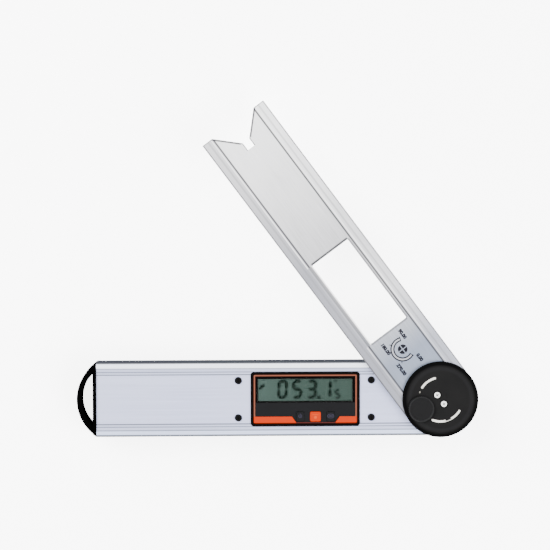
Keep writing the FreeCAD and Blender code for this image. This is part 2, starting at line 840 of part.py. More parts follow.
def blade_extrusion():
    """Flat extrusion with two rails: window, V notch with relief slot, rounded hub end."""
    body = new_body("blade_extrusion", heading="blade_heading")
    half = [
        ("blade_recess_half", "blade_web_under"),
        ("blade_recess_half", "blade_under"),
        ("blade_half - blade_edge", "blade_under"),
        ("blade_half", "blade_under + blade_edge"),
        ("blade_half", "blade_top - blade_edge"),
        ("blade_half - blade_edge", "blade_top"),
        ("blade_line + blade_line_width/2", "blade_top"),
        ("blade_line", "blade_top - blade_line_depth"),
        ("blade_line - blade_line_width/2", "blade_top"),
        ("blade_recess_half", "blade_top"),
        ("blade_recess_half", "blade_web_top"),
    ]
    section = sketch(body, "YZ_Plane", "blade_length")
    loop(section, mirrored_section(half))
    pad(body, section, "blade_length + blade_half - blade_round_shift", down=True)

    beyond = "blade_half + blade_rail"
    corner = sketch(body, "XY_Plane", "blade_top")
    loop(corner, [
        ("blade_round_shift", f"-({beyond})"),
        ("blade_round_shift", "-blade_half", "blade_round_shift", "0", -1),
        ("blade_round_shift", "blade_half"),
        ("blade_round_shift", beyond),
        (f"-({beyond})", beyond),
        (f"-({beyond})", f"-({beyond})"),
    ])
    pocket(body, corner, "blade_depth")

    window = sketch(body, "XY_Plane", "blade_top")
    loop(window, rounded_points(
        "window_start + window_length/2", "0", "window_length", "window_width", "window_corner"))
    pocket(body, window, "blade_depth")

    notch = sketch(body, "XY_Plane", "blade_top")
    throat = "blade_length - notch_depth"
    loop(notch, [
        ("blade_length", "-blade_recess_half"),
        ("blade_length", "blade_recess_half"),
        (throat, "notch_slot_width/2"),
        (f"{throat} - notch_slot_depth", "notch_slot_width/2"),
        (f"{throat} - notch_slot_depth", "-notch_slot_width/2"),
        (throat, "-notch_slot_width/2"),
    ])
    pocket(body, notch, "blade_depth")

    holes(body, [("0", "0")], "shaft_radius + shaft_fit", "blade_top", "blade_depth")
    holes(body, KNOB_SPOT, "stud_pass", "blade_top", "blade_depth")
    holes(body, PIN_SPOTS, "pin_diameter/2 + fit/2", "blade_top", "blade_depth")
    return body


def hub_cap():
    """Round cap: flat middle, sloping rim, three arc slots, two sunk screw seats."""
    body = turned("hub_cap", [
        ("0", "blade_web_top"),
        ("cap_boss_diameter/2", "blade_web_top"),
        ("cap_boss_diameter/2", "slot_ring_top"),
        ("slot_ring_outer/2", "slot_ring_top"),
        ("slot_ring_outer/2", "blade_top"),
        ("cap_diameter/2", "blade_top"),
        ("cap_diameter/2", "blade_top + cap_rim_height"),
        ("cap_diameter/2 - cap_rim_round", "blade_top + cap_rim_height + cap_rim_round"),
        ("cap_flat_diameter/2", "cap_top"),
        ("0", "cap_top"),
    ], heading="blade_heading")
    slots = sketch(body, "XY_Plane", "cap_top")
    for width, start, end in ARCS:
        loop(slots, arc_points(
            f"arc_radius - {width}/2", f"arc_radius + {width}/2", start, end, True))
    pocket(body, slots, "cap_height + blade_recess")

    nib = sketch(body, "XY_Plane", "cap_top")
    inner = "arc_radius - arc_width/2"
    half_angle = f"nib_width/2/({inner})*180/pi"
    loop(nib, arc_points(
        f"{inner} - fit", f"{inner} + nib_height",
        f"nib_angle - {half_angle}", f"nib_angle + {half_angle}", False))
    pad(body, nib, "arc_depth - fit", down=True)

    holes(body, CAP_SPOTS, "cap_screw_recess/2", "cap_top", "cap_screw_sink")
    holes(body, CAP_SPOTS, "cap_screw_thread/2 + fit", "cap_top", "cap_height + blade_recess")
    holes(body, KNOB_SPOT, "stud_pass", "cap_top", "cap_height + blade_recess")
    return body


def slot_ring():
    """Bright ring under the cap whose raised bands fill the cap's arc slots."""
    body = turned("slot_ring", ring_profile(
        "slot_ring_inner/2", "slot_ring_outer/2 - fit", "blade_web_top", "slot_ring_top"),
        heading="blade_heading")
    bands = sketch(body, "XY_Plane", "slot_ring_top")
    for width, start, end in ARCS:
        half = f"({width}/2 - fit)"
        loop(bands, arc_points(f"arc_radius - {half}", f"arc_radius + {half}", start, end, True))
    pad(body, bands, "cap_top - arc_depth - slot_ring_top")
    holes(body, KNOB_SPOT, "stud_pass", "slot_ring_top", "slot_ring_thickness")
    return body


def hub_cap_screws():
    """Two screws that hold cap and blade to the spindle."""
    return screws(
        "hub_cap_screws", CAP_SPOTS, "cap_screw_head", "cap_screw_sink - fit", "cap_screw_thread",
        "cap_screw_grip", "cap_top - fit", heading="blade_heading")


def spindle():
    """Turned steel spindle: flange under the blade, journal, neck with groove, rotor seat."""
    body = turned("spindle", [
        ("0", "rotor_bottom + rotor_screw_grip + fit"),
        ("rotor_screw_thread/2 + fit", "rotor_bottom + rotor_screw_grip + fit"),
        ("rotor_screw_thread/2 + fit", "rotor_bottom"),
        ("rotor_seat_diameter/2", "rotor_bottom"),
        ("rotor_seat_diameter/2", "rotor_top"),
        ("neck_radius", "rotor_top"),
        ("neck_radius", "retainer_bottom"),
        ("neck_radius - retainer_depth", "retainer_bottom"),
        ("neck_radius - retainer_depth", "rear_washer_bottom"),
        ("neck_radius", "rear_washer_bottom"),
        ("neck_radius", "floor_under + neck_start"),
        ("shaft_radius", "floor_under + neck_start"),
        ("shaft_radius", "blade_under"),
        ("spindle_flange/2", "blade_under"),
        ("spindle_flange/2", "blade_web_under"),
        ("shaft_radius", "blade_web_under"),
        ("shaft_radius", "blade_web_top"),
        ("0", "blade_web_top"),
    ], heading="blade_heading")
    tapped = "blade_web_top - (cap_top - cap_screw_sink - cap_screw_grip - fit)"
    holes(body, CAP_SPOTS, "cap_screw_thread/2 + fit/2", "blade_web_top", tapped)
    holes(body, PIN_SPOTS, "pin_diameter/2 + fit/2", "blade_web_under", "pin_sink")
    return body


def drive_pins():
    """Two dowels that key the spindle's flange to the blade."""
    body = new_body("drive_pins", heading="blade_heading")
    studs(body, PIN_SPOTS, "pin_diameter/2", "blade_web_under - pin_sink", "pin_sink + blade_web")
    return body


def pivot_bush():
    """Flanged bush in which the spindle turns."""
    return turned("pivot_bush", [
        ("shaft_radius + shaft_fit", "floor_under"),
        ("bush_radius", "floor_under"),
        ("bush_radius", "base_depth - bush_flange"),
        ("bush_flange_diameter/2", "base_depth - bush_flange"),
        ("bush_flange_diameter/2", "base_depth"),
        ("shaft_radius + shaft_fit", "base_depth"),
    ])


def thrust_washer():
    """Plastic washer that keeps the arms apart."""
    return turned("thrust_washer", ring_profile(
        "washer_inner/2", "washer_outer/2", "base_depth", "blade_under"))


def clamp_ring():
    """Steel ring with an annular T groove for the lock."""
    return turned("clamp_ring", [
        ("ring_inner/2", "ring_bottom"),
        ("ring_outer/2", "ring_bottom"),
        ("ring_outer/2", "base_depth"),
        ("knob_place + groove_half", "base_depth"),
        ("knob_place + groove_half", "groove_roof"),
        ("knob_place + undercut_half", "groove_roof"),
        ("knob_place + undercut_half", "groove_floor"),
        ("knob_place - undercut_half", "groove_floor"),
        ("knob_place - undercut_half", "groove_roof"),
        ("knob_place - groove_half", "groove_roof"),
        ("knob_place - groove_half", "base_depth"),
        ("ring_inner/2", "base_depth"),
    ])


def hub_housing():
    """Die-cast block in the rounded end of the base: bush boss, ring seat and encoder pocket."""
    body = new_body("hub_housing")
    side = "cavity_half - fit"
    nose = "base_half - housing_inset"
    meet = f"sqrt(({nose})^2 - ({side})^2)"
    outline = sketch(body, "XY_Plane", "web_rear_inner")
    loop(outline, [
        ("-housing_tail", f"-({side})"),
        (meet, f"-({side})", "0", "0", 1),
        (meet, side),
        ("-housing_tail", side),
    ])
    pad(body, outline, "web_front_inner - web_rear_inner")
    seat = sketch(body, "XY_Plane", "web_front_inner")
    circle(seat, "0", "0", "ring_outer/2 + fit")
    circle(seat, "0", "0", "ring_inner/2 - fit")
    pocket(body, seat, "web_front_inner - ring_bottom")
    studs(body, [("0", "0")], "ring_inner/2 - fit", "web_front_inner",
          "base_depth - bush_flange - web_front_inner")
    holes(body, [("0", "0")], "bush_radius", "base_depth", "base_depth - web_rear_inner")
    holes(body, [("0", "0")], "stator_pocket - stator_ledge", "web_rear_inner",
          "floor_under - web_rear_inner", up=True)
    holes(body, [("0", "0")], "stator_pocket", "web_rear_inner", "stator_top - web_rear_inner", up=True)
    screw_depth = "small_screw_grip + fit"
    holes(body, rear_cover_spots(), "screw_hole", "web_rear_inner", screw_depth, up=True)
    holes(body, HOUSING_SPOTS, "screw_hole", "web_rear_inner", screw_depth, up=True)
    channel = sketch(body, "XY_Plane", "web_rear_inner")
    loop(channel, [
        ("-housing_tail", "-cable_width/2 - loose"),
        ("-stator_inner/2", "-cable_width/2 - loose"),
        ("-stator_inner/2", "cable_width/2 + loose"),
        ("-housing_tail", "cable_width/2 + loose"),
    ])
    pocket(body, channel, "stator_bottom + loose - web_rear_inner", up=True)
    return body


def lock_knob():
    """Dished knob with fine flutes round its edge."""
    rim_inner = "knob_diameter/2 - knob_rim"
    spot = {"x": "knob_place*cos(knob_heading)", "y": "knob_place*sin(knob_heading)"}
    body = turned("lock_knob", [
        ("0", "knob_bottom + stud_in_knob"),
        ("stud_radius", "knob_bottom + stud_in_knob"),
        ("stud_radius", "knob_bottom"),
        ("knob_diameter/2 - knob_edge", "knob_bottom"),
        ("knob_diameter/2", "knob_bottom + knob_edge"),
        ("knob_diameter/2", "knob_top - knob_edge"),
        ("knob_diameter/2 - knob_edge", "knob_top"),
        (f"{rim_inner} + knob_dish", "knob_top"),
        (rim_inner, "knob_top - knob_dish"),
        ("0", "knob_top - knob_dish"),
    ], **spot)
    flute_spot = [("knob_diameter/2 + knob_flute/2", "0")]
    flute = holes(body, flute_spot, "knob_flute", "knob_top", "knob_height")
    polar_pattern(body, flute, SIZES["knob_flute_count"])
    return body


def lock_screw():
    """Threaded stud of the knob, which reaches through cap and blade to the shoe."""
    body = new_body("lock_screw", x="knob_place*cos(knob_heading)", y="knob_place*sin(knob_heading)")
    bottom = "shoe_bottom + fit"
    studs(body, [("0", "0")], "stud_radius", bottom, f"knob_bottom + stud_in_knob - ({bottom})")
    soften(body, "Chamfer", "stud_chamfer", lambda edge: on_level(edge, bottom))
    return body


def clamp_shoe():
    """Curved nut that the stud draws up against the lips of the groove."""
    body = new_body("clamp_shoe", heading="knob_heading")
    reach = "undercut_half - shoe_side_gap"
    outline = sketch(body, "XY_Plane", "shoe_bottom")
    loop(outline, arc_points(
        f"knob_place - ({reach})", f"knob_place + {reach}", "-shoe_half_span", "shoe_half_span", False))
    pad(body, outline, "shoe_top - shoe_bottom")
    holes(body, [("knob_place", "0")], "stud_radius + shaft_fit", "shoe_top", "shoe_top - shoe_bottom")
    return body


def disc_spring():
    """Coned spring that draws the blade against the base."""
    inner = "neck_radius + loose"
    outer = "spring_outer/2"
    return turned("disc_spring", [
        (inner, "spring_bottom"),
        (f"{inner} + spring_sheet", "spring_bottom"),
        (outer, "floor_under - spring_sheet"),
        (outer, "floor_under"),
        (f"{outer} - spring_sheet", "floor_under"),
        (inner, "spring_bottom + spring_sheet"),
    ])


def rear_washer():
    """Washer between spring and retaining ring."""
    return turned("rear_washer", ring_profile(
        "neck_radius + shaft_fit", "spring_outer/2", "rear_washer_bottom", "spring_bottom"))


def retaining_ring():
    """Open ring in the groove of the spindle's neck."""
    body = turned("retaining_ring", ring_profile(
        "neck_radius - retainer_depth + shaft_fit", "retainer_outer/2",
        "retainer_bottom", "rear_washer_bottom"), heading="blade_heading")
    gap = sketch(body, "XY_Plane", "rear_washer_bottom")
    loop(gap, [
        ("0", "-neck_radius/2"),
        ("retainer_outer", "-neck_radius/2"),
        ("retainer_outer", "neck_radius/2"),
        ("0", "neck_radius/2"),
    ])
    pocket(body, gap, "retainer_thickness")
    return body


def encoder_rotor():
    """Patterned disc of the angle encoder, carried by the spindle."""
    body = turned("encoder_rotor", ring_profile(
        "rotor_seat_diameter/2 + shaft_fit", "rotor_diameter/2", "rotor_bottom", "rotor_top"),
        heading="blade_heading")
    outer = "rotor_diameter/2 - rotor_window_margin"
    window = sketch(body, "XY_Plane", "rotor_top")
    loop(window, arc_points(
        f"{outer} - rotor_window_length", outer, "-rotor_window_half", "rotor_window_half", False))
    cut = pocket(body, window, "rotor_thickness")
    polar_pattern(body, cut, SIZES["rotor_window_count"])
    return body


def rotor_screw():
    """Screw that holds the rotor on the spindle's end."""
    return screws(
        "rotor_screw", [("0", "0")], "rotor_screw_head", "rotor_screw_height", "rotor_screw_thread",
        "rotor_screw_grip", "rotor_bottom - rotor_screw_height", rear=True, heading="blade_heading")


def encoder_stator():
    """Ring-shaped circuit board that reads the rotor."""
    return turned("encoder_stator", ring_profile(
        "stator_inner/2", "stator_outer/2", "stator_bottom", "stator_top"))


def rear_hub_cover():
    """Flush round cover on the rear with a rim that holds the stator up."""
    body = turned("rear_hub_cover", [
        ("0", "0"),
        ("rear_cover_diameter/2", "0"),
        ("rear_cover_diameter/2", "rear_cover_thickness"),
        ("stator_pocket - fit", "rear_cover_thickness"),
        ("stator_pocket - fit", "stator_bottom"),
        ("stator_pocket - stator_ledge", "stator_bottom"),
        ("stator_pocket - stator_ledge", "rear_cover_thickness"),
        ("0", "rear_cover_thickness"),
    ])
    holes(body, rear_cover_spots(), "small_head_hole", "0", "small_screw_sink", up=True)
    holes(body, rear_cover_spots(), "screw_hole", "0", "rear_cover_thickness", up=True)
    pass_way = sketch(body, "XY_Plane", "stator_bottom")
    loop(pass_way, [
        ("-stator_pocket", "-cable_width/2 - loose"),
        ("-stator_inner/2", "-cable_width/2 - loose"),
        ("-stator_inner/2", "cable_width/2 + loose"),
        ("-stator_pocket", "cable_width/2 + loose"),
    ])
    pocket(body, pass_way, "stator_bottom - rear_cover_thickness - loose")
    return body


def rear_cover_screws():
    """Three screws of the rear hub cover."""
    return screws(
        "rear_cover_screws", rear_cover_spots(), "small_screw_head", "small_screw_height",
        "small_screw_thread", "small_screw_grip", "small_screw_sink - small_screw_height", rear=True)


def hub_housing_screws():
    """Two screws through the rear wall into the housing."""
    face = "base_recess + small_screw_sink - small_screw_height"
    return screws(
        "hub_housing_screws", HOUSING_SPOTS, "small_screw_head", "small_screw_height",
        "small_screw_thread", "small_screw_grip", face, rear=True)


def end_cap_screws():
    """Two screws through the rear rails into the plug."""
    return screws(
        "end_cap_screws", END_SPOTS, "small_screw_head", "small_screw_height", "small_screw_thread",
        "small_screw_grip", "small_screw_sink - small_screw_height", rear=True, x="-base_length")


def bulge_points(top, drop, slack):
    """The trapezoid under the panel from height top down by drop, narrowed by slack."""
    left_top = f"bulge_place - bulge_top_width/2 + {slack}"
    left_low = f"bulge_place - bulge_bottom_width/2 + {slack}"
    right_top = f"bulge_place + bulge_top_width/2 - {slack}"
    right_low = f"bulge_place + bulge_bottom_width/2 - {slack}"
    low = f"{top} - {drop}"
    return [(left_top, top), (left_low, low), (right_low, low), (right_top, top)]


def display_bezel():
    """Black frame with a skirt, the display's window and three openings for the buttons."""
    body = new_body("display_bezel", x="-display_place")
    outline = sketch(body, "XY_Plane", "bezel_seat")
    loop(outline, rounded_points("0", "0", "bezel_width", "bezel_height", "bezel_corner"))
    pad(body, outline, "bezel_top - bezel_seat")
    skirt = sketch(body, "XY_Plane", "bezel_seat")
    loop(skirt, box_points("0", "0", "skirt_width", "skirt_height"))
    pad(body, skirt, "skirt_depth", down=True)
    recess = sketch(body, "XY_Plane", "bezel_top")
    loop(recess, rounded_points("0", "0", "trim_width + 2*fit", "trim_height + 2*fit", "trim_corner"))
    pocket(body, recess, "bezel_rim")
    hollow = sketch(body, "XY_Plane", "bezel_seat - skirt_depth")
    inside = ("skirt_width - 2*skirt_wall", "skirt_height - 2*skirt_wall")
    loop(hollow, box_points("0", "0", *inside))
    pocket(body, hollow, "bezel_under - (bezel_seat - skirt_depth)", up=True)

    window = sketch(body, "XY_Plane", "bezel_face")
    loop(window, box_points(
        "-lcd_window_side", "lcd_window_up", "lcd_window_width", "lcd_window_height"))
    pocket(body, window, "bezel_plate")
    rebate = sketch(body, "XY_Plane", "bezel_face")
    loop(rebate, box_points(
        "-lcd_window_side", "lcd_window_up", "lcd_window_width + 2*lens_ledge",
        "lcd_window_height + 2*lens_ledge"))
    pocket(body, rebate, "lens_thickness - lens_stand")
    keys = sketch(body, "XY_Plane", "bezel_face")
    for place_x, width in BUTTONS.values():
        loop(keys, rounded_points(
            place_x, "-button_down", f"{width} + 2*loose", "button_height + 2*loose", "button_corner"))
    pocket(body, keys, "bezel_plate")
    return body


def display_trim():
    """Orange frame, broad below, cut out for the key panel."""
    body = new_body("display_trim", x="-display_place")
    outline = sketch(body, "XY_Plane", "bezel_face")
    loop(outline, rounded_points("0", "0", "trim_width", "trim_height", "trim_corner"))
    right = "trim_inner_width/2"
    bulge = bulge_points("trim_inner_bottom", "bulge_depth", "0")
    loop(outline, [
        (f"-{right}", "trim_inner_bottom"),
        *bulge,
        (right, "trim_inner_bottom"),
        (right, "trim_inner_top"),
        (f"-{right}", "trim_inner_top"),
    ])
    pad(body, outline, "trim_thickness")
    face = "bezel_face + trim_thickness"
    soften(body, "Chamfer", "trim_edge", lambda edge: on_level(edge, face))
    return body


def panel_overlay():
    """Thin dark panel round the buttons."""
    body = new_body("panel_overlay", x="-display_place")
    top = "lcd_window_up - lcd_window_height/2 - lens_ledge - loose"
    right = "trim_inner_width/2 - loose"
    bulge = bulge_points("trim_inner_bottom + loose", "bulge_depth", "loose")
    outline = sketch(body, "XY_Plane", "bezel_face")
    loop(outline, [
        (f"-({right})", top),
        (f"-({right})", "trim_inner_bottom + loose"),
        *bulge,
        (right, "trim_inner_bottom + loose"),
        (right, top),
    ])
    for place_x, width in BUTTONS.values():
        loop(outline, rounded_points(
            place_x, "-button_down", f"{width} + 2*loose", "button_height + 2*loose", "button_corner"))
    pad(body, outline, "overlay_thickness")
    return body


def display_lens():
    """Clear window over the display."""
    body = new_body("display_lens", x="-display_place")
    outline = sketch(body, "XY_Plane", "lens_top")
    loop(outline, box_points(
        "-lcd_window_side", "lcd_window_up", "lcd_window_width + 2*(lens_ledge - fit)",
        "lcd_window_height + 2*(lens_ledge - fit)"))
    pad(body, outline, "lens_thickness", down=True)
    return body


def lcd_panel():
    """Display of two glasses: the rear one is shorter and leaves a contact ledge on each side."""
    body = new_body("lcd_panel", x="-display_place")
    front = sketch(body, "XY_Plane", "lcd_bottom + lcd_rear_glass")
    loop(front, box_points("0", "lcd_up", "lcd_width", "lcd_height"))
    pad(body, front, "lcd_thickness - lcd_rear_glass")
    rear = sketch(body, "XY_Plane", "lcd_bottom")
    loop(rear, box_points("0", "lcd_up", "lcd_width", "lcd_height - 2*lcd_ledge"))
    pad(body, rear, "lcd_rear_glass")
    return body


def zebra_strips():
    """Two rubber connectors between the board and the display's contact ledges."""
    body = new_body("zebra_strips", x="-display_place")
    outline = sketch(body, "XY_Plane", "board_top")
    for side in ("-", "+"):
        across = f"lcd_up {side} (lcd_height - lcd_ledge)/2"
        loop(outline, box_points("0", across, "zebra_length", "zebra_width"))
    pad(body, outline, "board_gap + lcd_rear_glass")
    return body


def main_board():
    """Circuit board under the display, held on two pegs of the carrier."""
    body = new_body("main_board", x="-display_place")
    outline = sketch(body, "XY_Plane", "board_bottom")
    loop(outline, box_points("0", "0", "board_width", "board_height"))
    pad(body, outline, "board_thickness")
    holes(body, PEG_SPOTS, "peg_diameter/2 + fit", "board_top", "board_thickness")
    return body


def board_components():
    """Processor, crystal, capacitors and connector on the board."""
    body = new_body("board_components", x="-display_place")
    chips = sketch(body, "XY_Plane", "board_top")
    for x, y, width, depth in COMPONENTS:
        loop(chips, box_points(x, y, width, depth))
    pad(body, chips, "component_height")
    return body


def key_switches():
    """Three small switches under the buttons."""
    body = new_body("key_switches", x="-display_place")
    cases = sketch(body, "XY_Plane", "board_top")
    spots = [(place_x, "-button_down") for place_x, _ in BUTTONS.values()]
    for x, y in spots:
        loop(cases, box_points(x, y, "switch_width", "switch_width"))
    pad(body, cases, "switch_case")
    studs(body, spots, "button_stem/2", "board_top + switch_case", "switch_height - switch_case")
    return body


def display_carrier():
    """Tray behind the display: rim, four screw bosses and the battery cup on its rear."""
    body = new_body("display_carrier", x="-display_screw_place")
    outline = sketch(body, "XY_Plane", "carrier_under")
    loop(outline, rounded_points("0", "0", "carrier_width", "carrier_height", "carrier_corner"))
    pad(body, outline, "carrier_plate")
    rim = sketch(body, "XY_Plane", "board_bottom")
    loop(rim, rounded_points("0", "0", "carrier_width", "carrier_height", "carrier_corner"))
    inner_corner = "carrier_corner - carrier_rim"
    loop(rim, rounded_points(
        "0", "0", "carrier_width - 2*carrier_rim", "carrier_height - 2*carrier_rim", inner_corner))
    pad(body, rim, "carrier_rim_height")
    studs(body, DISPLAY_SPOTS, "carrier_boss/2", "board_bottom", "web_front_inner - board_bottom")
    pegs = shifted(PEG_SPOTS, "display_screw_place - display_place")
    studs(body, pegs, "peg_diameter/2", "board_bottom", "board_thickness + peg_stand")
    bore = "display_screw_thread/2 + fit/2"
    holes(body, DISPLAY_SPOTS, bore, "web_front_inner", "web_front_inner - board_bottom")
    gate = sketch(body, "XY_Plane", "board_bottom + carrier_rim_height")
    loop(gate, box_points("carrier_width/2", "0", "4*carrier_rim", "cable_width + 2*loose"))
    pocket(body, gate, "carrier_rim_height")

    cup_x = "display_screw_place - battery_place"
    studs(body, [(cup_x, "0")], "cup_radius + cup_wall", "cup_bottom", "carrier_under - cup_bottom")
    holes(body, [(cup_x, "0")], "cup_radius", "cup_bottom", "carrier_under - cup_bottom", up=True)
    mouth = "seal_radius + seal_section/2 + seal_squeeze"
    holes(body, [(cup_x, "0")], mouth, "cup_bottom", "battery_cover_inner + fit - cup_bottom", up=True)
    slot = sketch(body, "XY_Plane", "cup_bottom")
    slot_depth = "contact_sheet + 2*fit"
    loop(slot, box_points(
        f"{cup_x} - cup_radius", "0", f"2*({slot_depth})", "contact_width + 2*fit"))
    pocket(body, slot, "carrier_under - cup_bottom", up=True)
    return body


def display_screws():
    """Four black screws that hold the carrier behind the front wall."""
    return screws(
        "display_screws", DISPLAY_SPOTS, "display_screw_head", "display_screw_height",
        "display_screw_thread", "display_screw_grip", "web_front + display_screw_height",
        x="-display_screw_place")


def button(label):
    """Key with a shoulder under the bezel and a stem over its switch."""
    across, width = BUTTONS[label]
    body = new_body(label, x=f"-display_place + {across}", y="-button_down")
    shoulder = sketch(body, "XY_Plane", "shoulder_bottom")
    loop(shoulder, rounded_points(
        "0", "button_shoulder/2", f"{width} + 2*button_shoulder", "button_height + button_shoulder",
        "button_corner"))
    pad(body, shoulder, "button_shoulder_height")
    key = sketch(body, "XY_Plane", "shoulder_top")
    loop(key, rounded_points("0", "0", width, "button_height", "button_corner"))
    pad(body, key, "button_top - shoulder_top")
    soften(body, "Fillet", "button_round", lambda edge: on_level(edge, "button_top"))
    stem = "shoulder_bottom - stem_bottom"
    studs(body, [("0", "0")], "button_stem/2", "shoulder_bottom", stem, down=True)
    return body


def battery():
    """Coin cell: a can with a smaller cap towards the board."""
    step = "battery_chamfer"
    radius = "battery_diameter/2"
    return turned("battery", [
        ("0", "battery_bottom"),
        (f"{radius} - {step}", "battery_bottom"),
        (radius, f"battery_bottom + {step}"),
        (radius, f"battery_top - {step}"),
        (f"{radius} - battery_cap_inset", f"battery_top - {step}"),
        (f"{radius} - battery_cap_inset", "battery_top"),
        ("0", "battery_top"),
    ], x="-battery_place")


def battery_contacts():
    """Side leaf for the can and sprung leaf for the cap of the cell."""
    wall = "-cup_radius - contact_sheet - fit/2"
    bent_strip("battery_contact_side", [
        (wall, "carrier_under"),
        (wall, "battery_bottom + battery_gap"),
    ], "contact_sheet", "contact_width", x="-battery_place")
    bent_strip("battery_contact_leaf", [
        ("-leaf_root", "carrier_under - contact_sheet"),
        ("leaf_bend", "carrier_under - contact_sheet"),
        ("leaf_root", "battery_top + fit"),
        ("leaf_tip", "battery_top + fit"),
    ], "contact_sheet", "contact_width", x="-battery_place")


def battery_cover():
    """Round cover with a coin slot, a hub with a seal groove and two bayonet lugs."""
    hub = "battery_cover_hub/2"
    groove_low = "battery_cover_inner - seal_section - fit"
    body = turned("battery_cover", [
        ("0", "base_recess"),
        ("battery_cover_diameter/2", "base_recess"),
        ("battery_cover_diameter/2", "web_rear_inner - loose"),
        (hub, "web_rear_inner - loose"),
        (hub, groove_low),
        ("seal_radius - seal_section/2", groove_low),
        ("seal_radius - seal_section/2", "battery_cover_inner"),
        ("0", "battery_cover_inner"),
    ], x="-battery_place")
    slot = sketch(body, "XY_Plane", "base_recess")
    loop(slot, box_points("0", "0", "coin_slot_length", "coin_slot_width"))
    pocket(body, slot, "coin_slot_depth", up=True)
    lugs = sketch(body, "XY_Plane", "web_rear_inner + fit")
    for side in ("0", "180"):
        loop(lugs, arc_points(
            f"{hub} - loose", "web_hole + bayonet_reach - running",
            f"{side} - bayonet_half_span", f"{side} + bayonet_half_span", False))
    pad(body, lugs, "bayonet_height")
    return body


def battery_seal():
    """Rubber ring in the groove of the battery cover."""
    top = "battery_cover_inner - fit/2"
    return turned("battery_seal", ring_profile(
        "seal_radius - seal_section/2", "seal_radius + seal_section/2", f"{top} - seal_section", top),
        x="-battery_place")


def encoder_cable():
    """Flat cable from the stator's underside over the carrier's edge to the board."""
    start = "stator_bottom - cable_sheet"
    rise = "-housing_tail - cable_bend/2"
    edge = "-display_screw_place + carrier_width/2"
    bent_strip("encoder_cable", [
        ("-display_place + zebra_length/2 + running", "board_top"),
        (f"{edge} + fit", "board_top"),
        (f"{rise} - cable_bend", "board_top - cable_bend/2"),
        (f"{rise} - cable_bend/2", f"{start} + cable_bend"),
        (rise, start),
        ("-stator_pocket + stator_ledge", start),
    ], "cable_sheet", "cable_width")


base_extrusion()
end_cap()
end_cap_screws()
blade_extrusion()
hub_housing()
hub_housing_screws()
pivot_bush()
thrust_washer()
clamp_ring()
spindle()
drive_pins()
hub_cap()
slot_ring()
hub_cap_screws()
lock_knob()
lock_screw()
clamp_shoe()
disc_spring()
rear_washer()
retaining_ring()
encoder_rotor()
rotor_screw()
encoder_stator()
encoder_cable()
rear_hub_cover()
rear_cover_screws()
display_carrier()
display_bezel()
display_trim()
display_lens()
panel_overlay()
lcd_panel()
zebra_strips()
main_board()
board_components()
key_switches()
display_screws()
for key_label in BUTTONS:
    button(key_label)
battery()
battery_contacts()
battery_cover()
battery_seal()
doc.recompute()

for item in doc.Objects:
    if "Invalid" in item.State or "Error" in item.State:
        raise RuntimeError(f"{item.Name} failed: {item.State}")
for node in nodes:
    if node.Shape.isNull() or not node.Shape.isValid() or not node.Shape.Solids:
        raise RuntimeError(f"{node.Label} has no valid solid")

os.makedirs("parts", exist_ok=True)
for node in nodes:
    node.Shape.exportStep(f"parts/{node.Label}.step")
    print(node.Label, len(node.Shape.Solids), round(node.Shape.Volume, 1))
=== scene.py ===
"""Looks of the digital protractor. Metres; X along the base, Z towards the display side."""

import json
import math

import bmesh
import bpy
from mathutils import Matrix, Vector


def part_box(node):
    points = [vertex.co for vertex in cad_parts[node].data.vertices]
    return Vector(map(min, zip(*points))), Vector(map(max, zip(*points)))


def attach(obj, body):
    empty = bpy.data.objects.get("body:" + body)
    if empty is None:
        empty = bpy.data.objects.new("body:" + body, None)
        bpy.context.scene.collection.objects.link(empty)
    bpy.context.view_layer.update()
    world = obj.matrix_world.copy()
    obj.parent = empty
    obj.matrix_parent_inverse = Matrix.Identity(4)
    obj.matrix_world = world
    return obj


MM = 0.001
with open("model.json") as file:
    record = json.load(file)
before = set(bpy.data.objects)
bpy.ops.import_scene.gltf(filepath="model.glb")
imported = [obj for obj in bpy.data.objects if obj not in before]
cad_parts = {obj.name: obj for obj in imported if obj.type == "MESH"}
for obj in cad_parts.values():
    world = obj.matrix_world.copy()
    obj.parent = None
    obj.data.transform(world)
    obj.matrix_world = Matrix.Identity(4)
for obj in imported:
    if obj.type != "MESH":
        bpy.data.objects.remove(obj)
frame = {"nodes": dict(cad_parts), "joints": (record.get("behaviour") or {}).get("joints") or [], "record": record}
NODES = frame["nodes"]
JOINTS = {joint["name"]: joint for joint in frame["joints"]}
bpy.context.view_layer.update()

# The blade's direction at its rest angle.
OPEN_ANGLE = math.radians(53.15)
HEADING = math.pi - OPEN_ANGLE
ALONG = Vector((math.cos(HEADING), math.sin(HEADING), 0))
KNOB_AXIS = Vector(JOINTS["lock_turn"]["pos_m"])


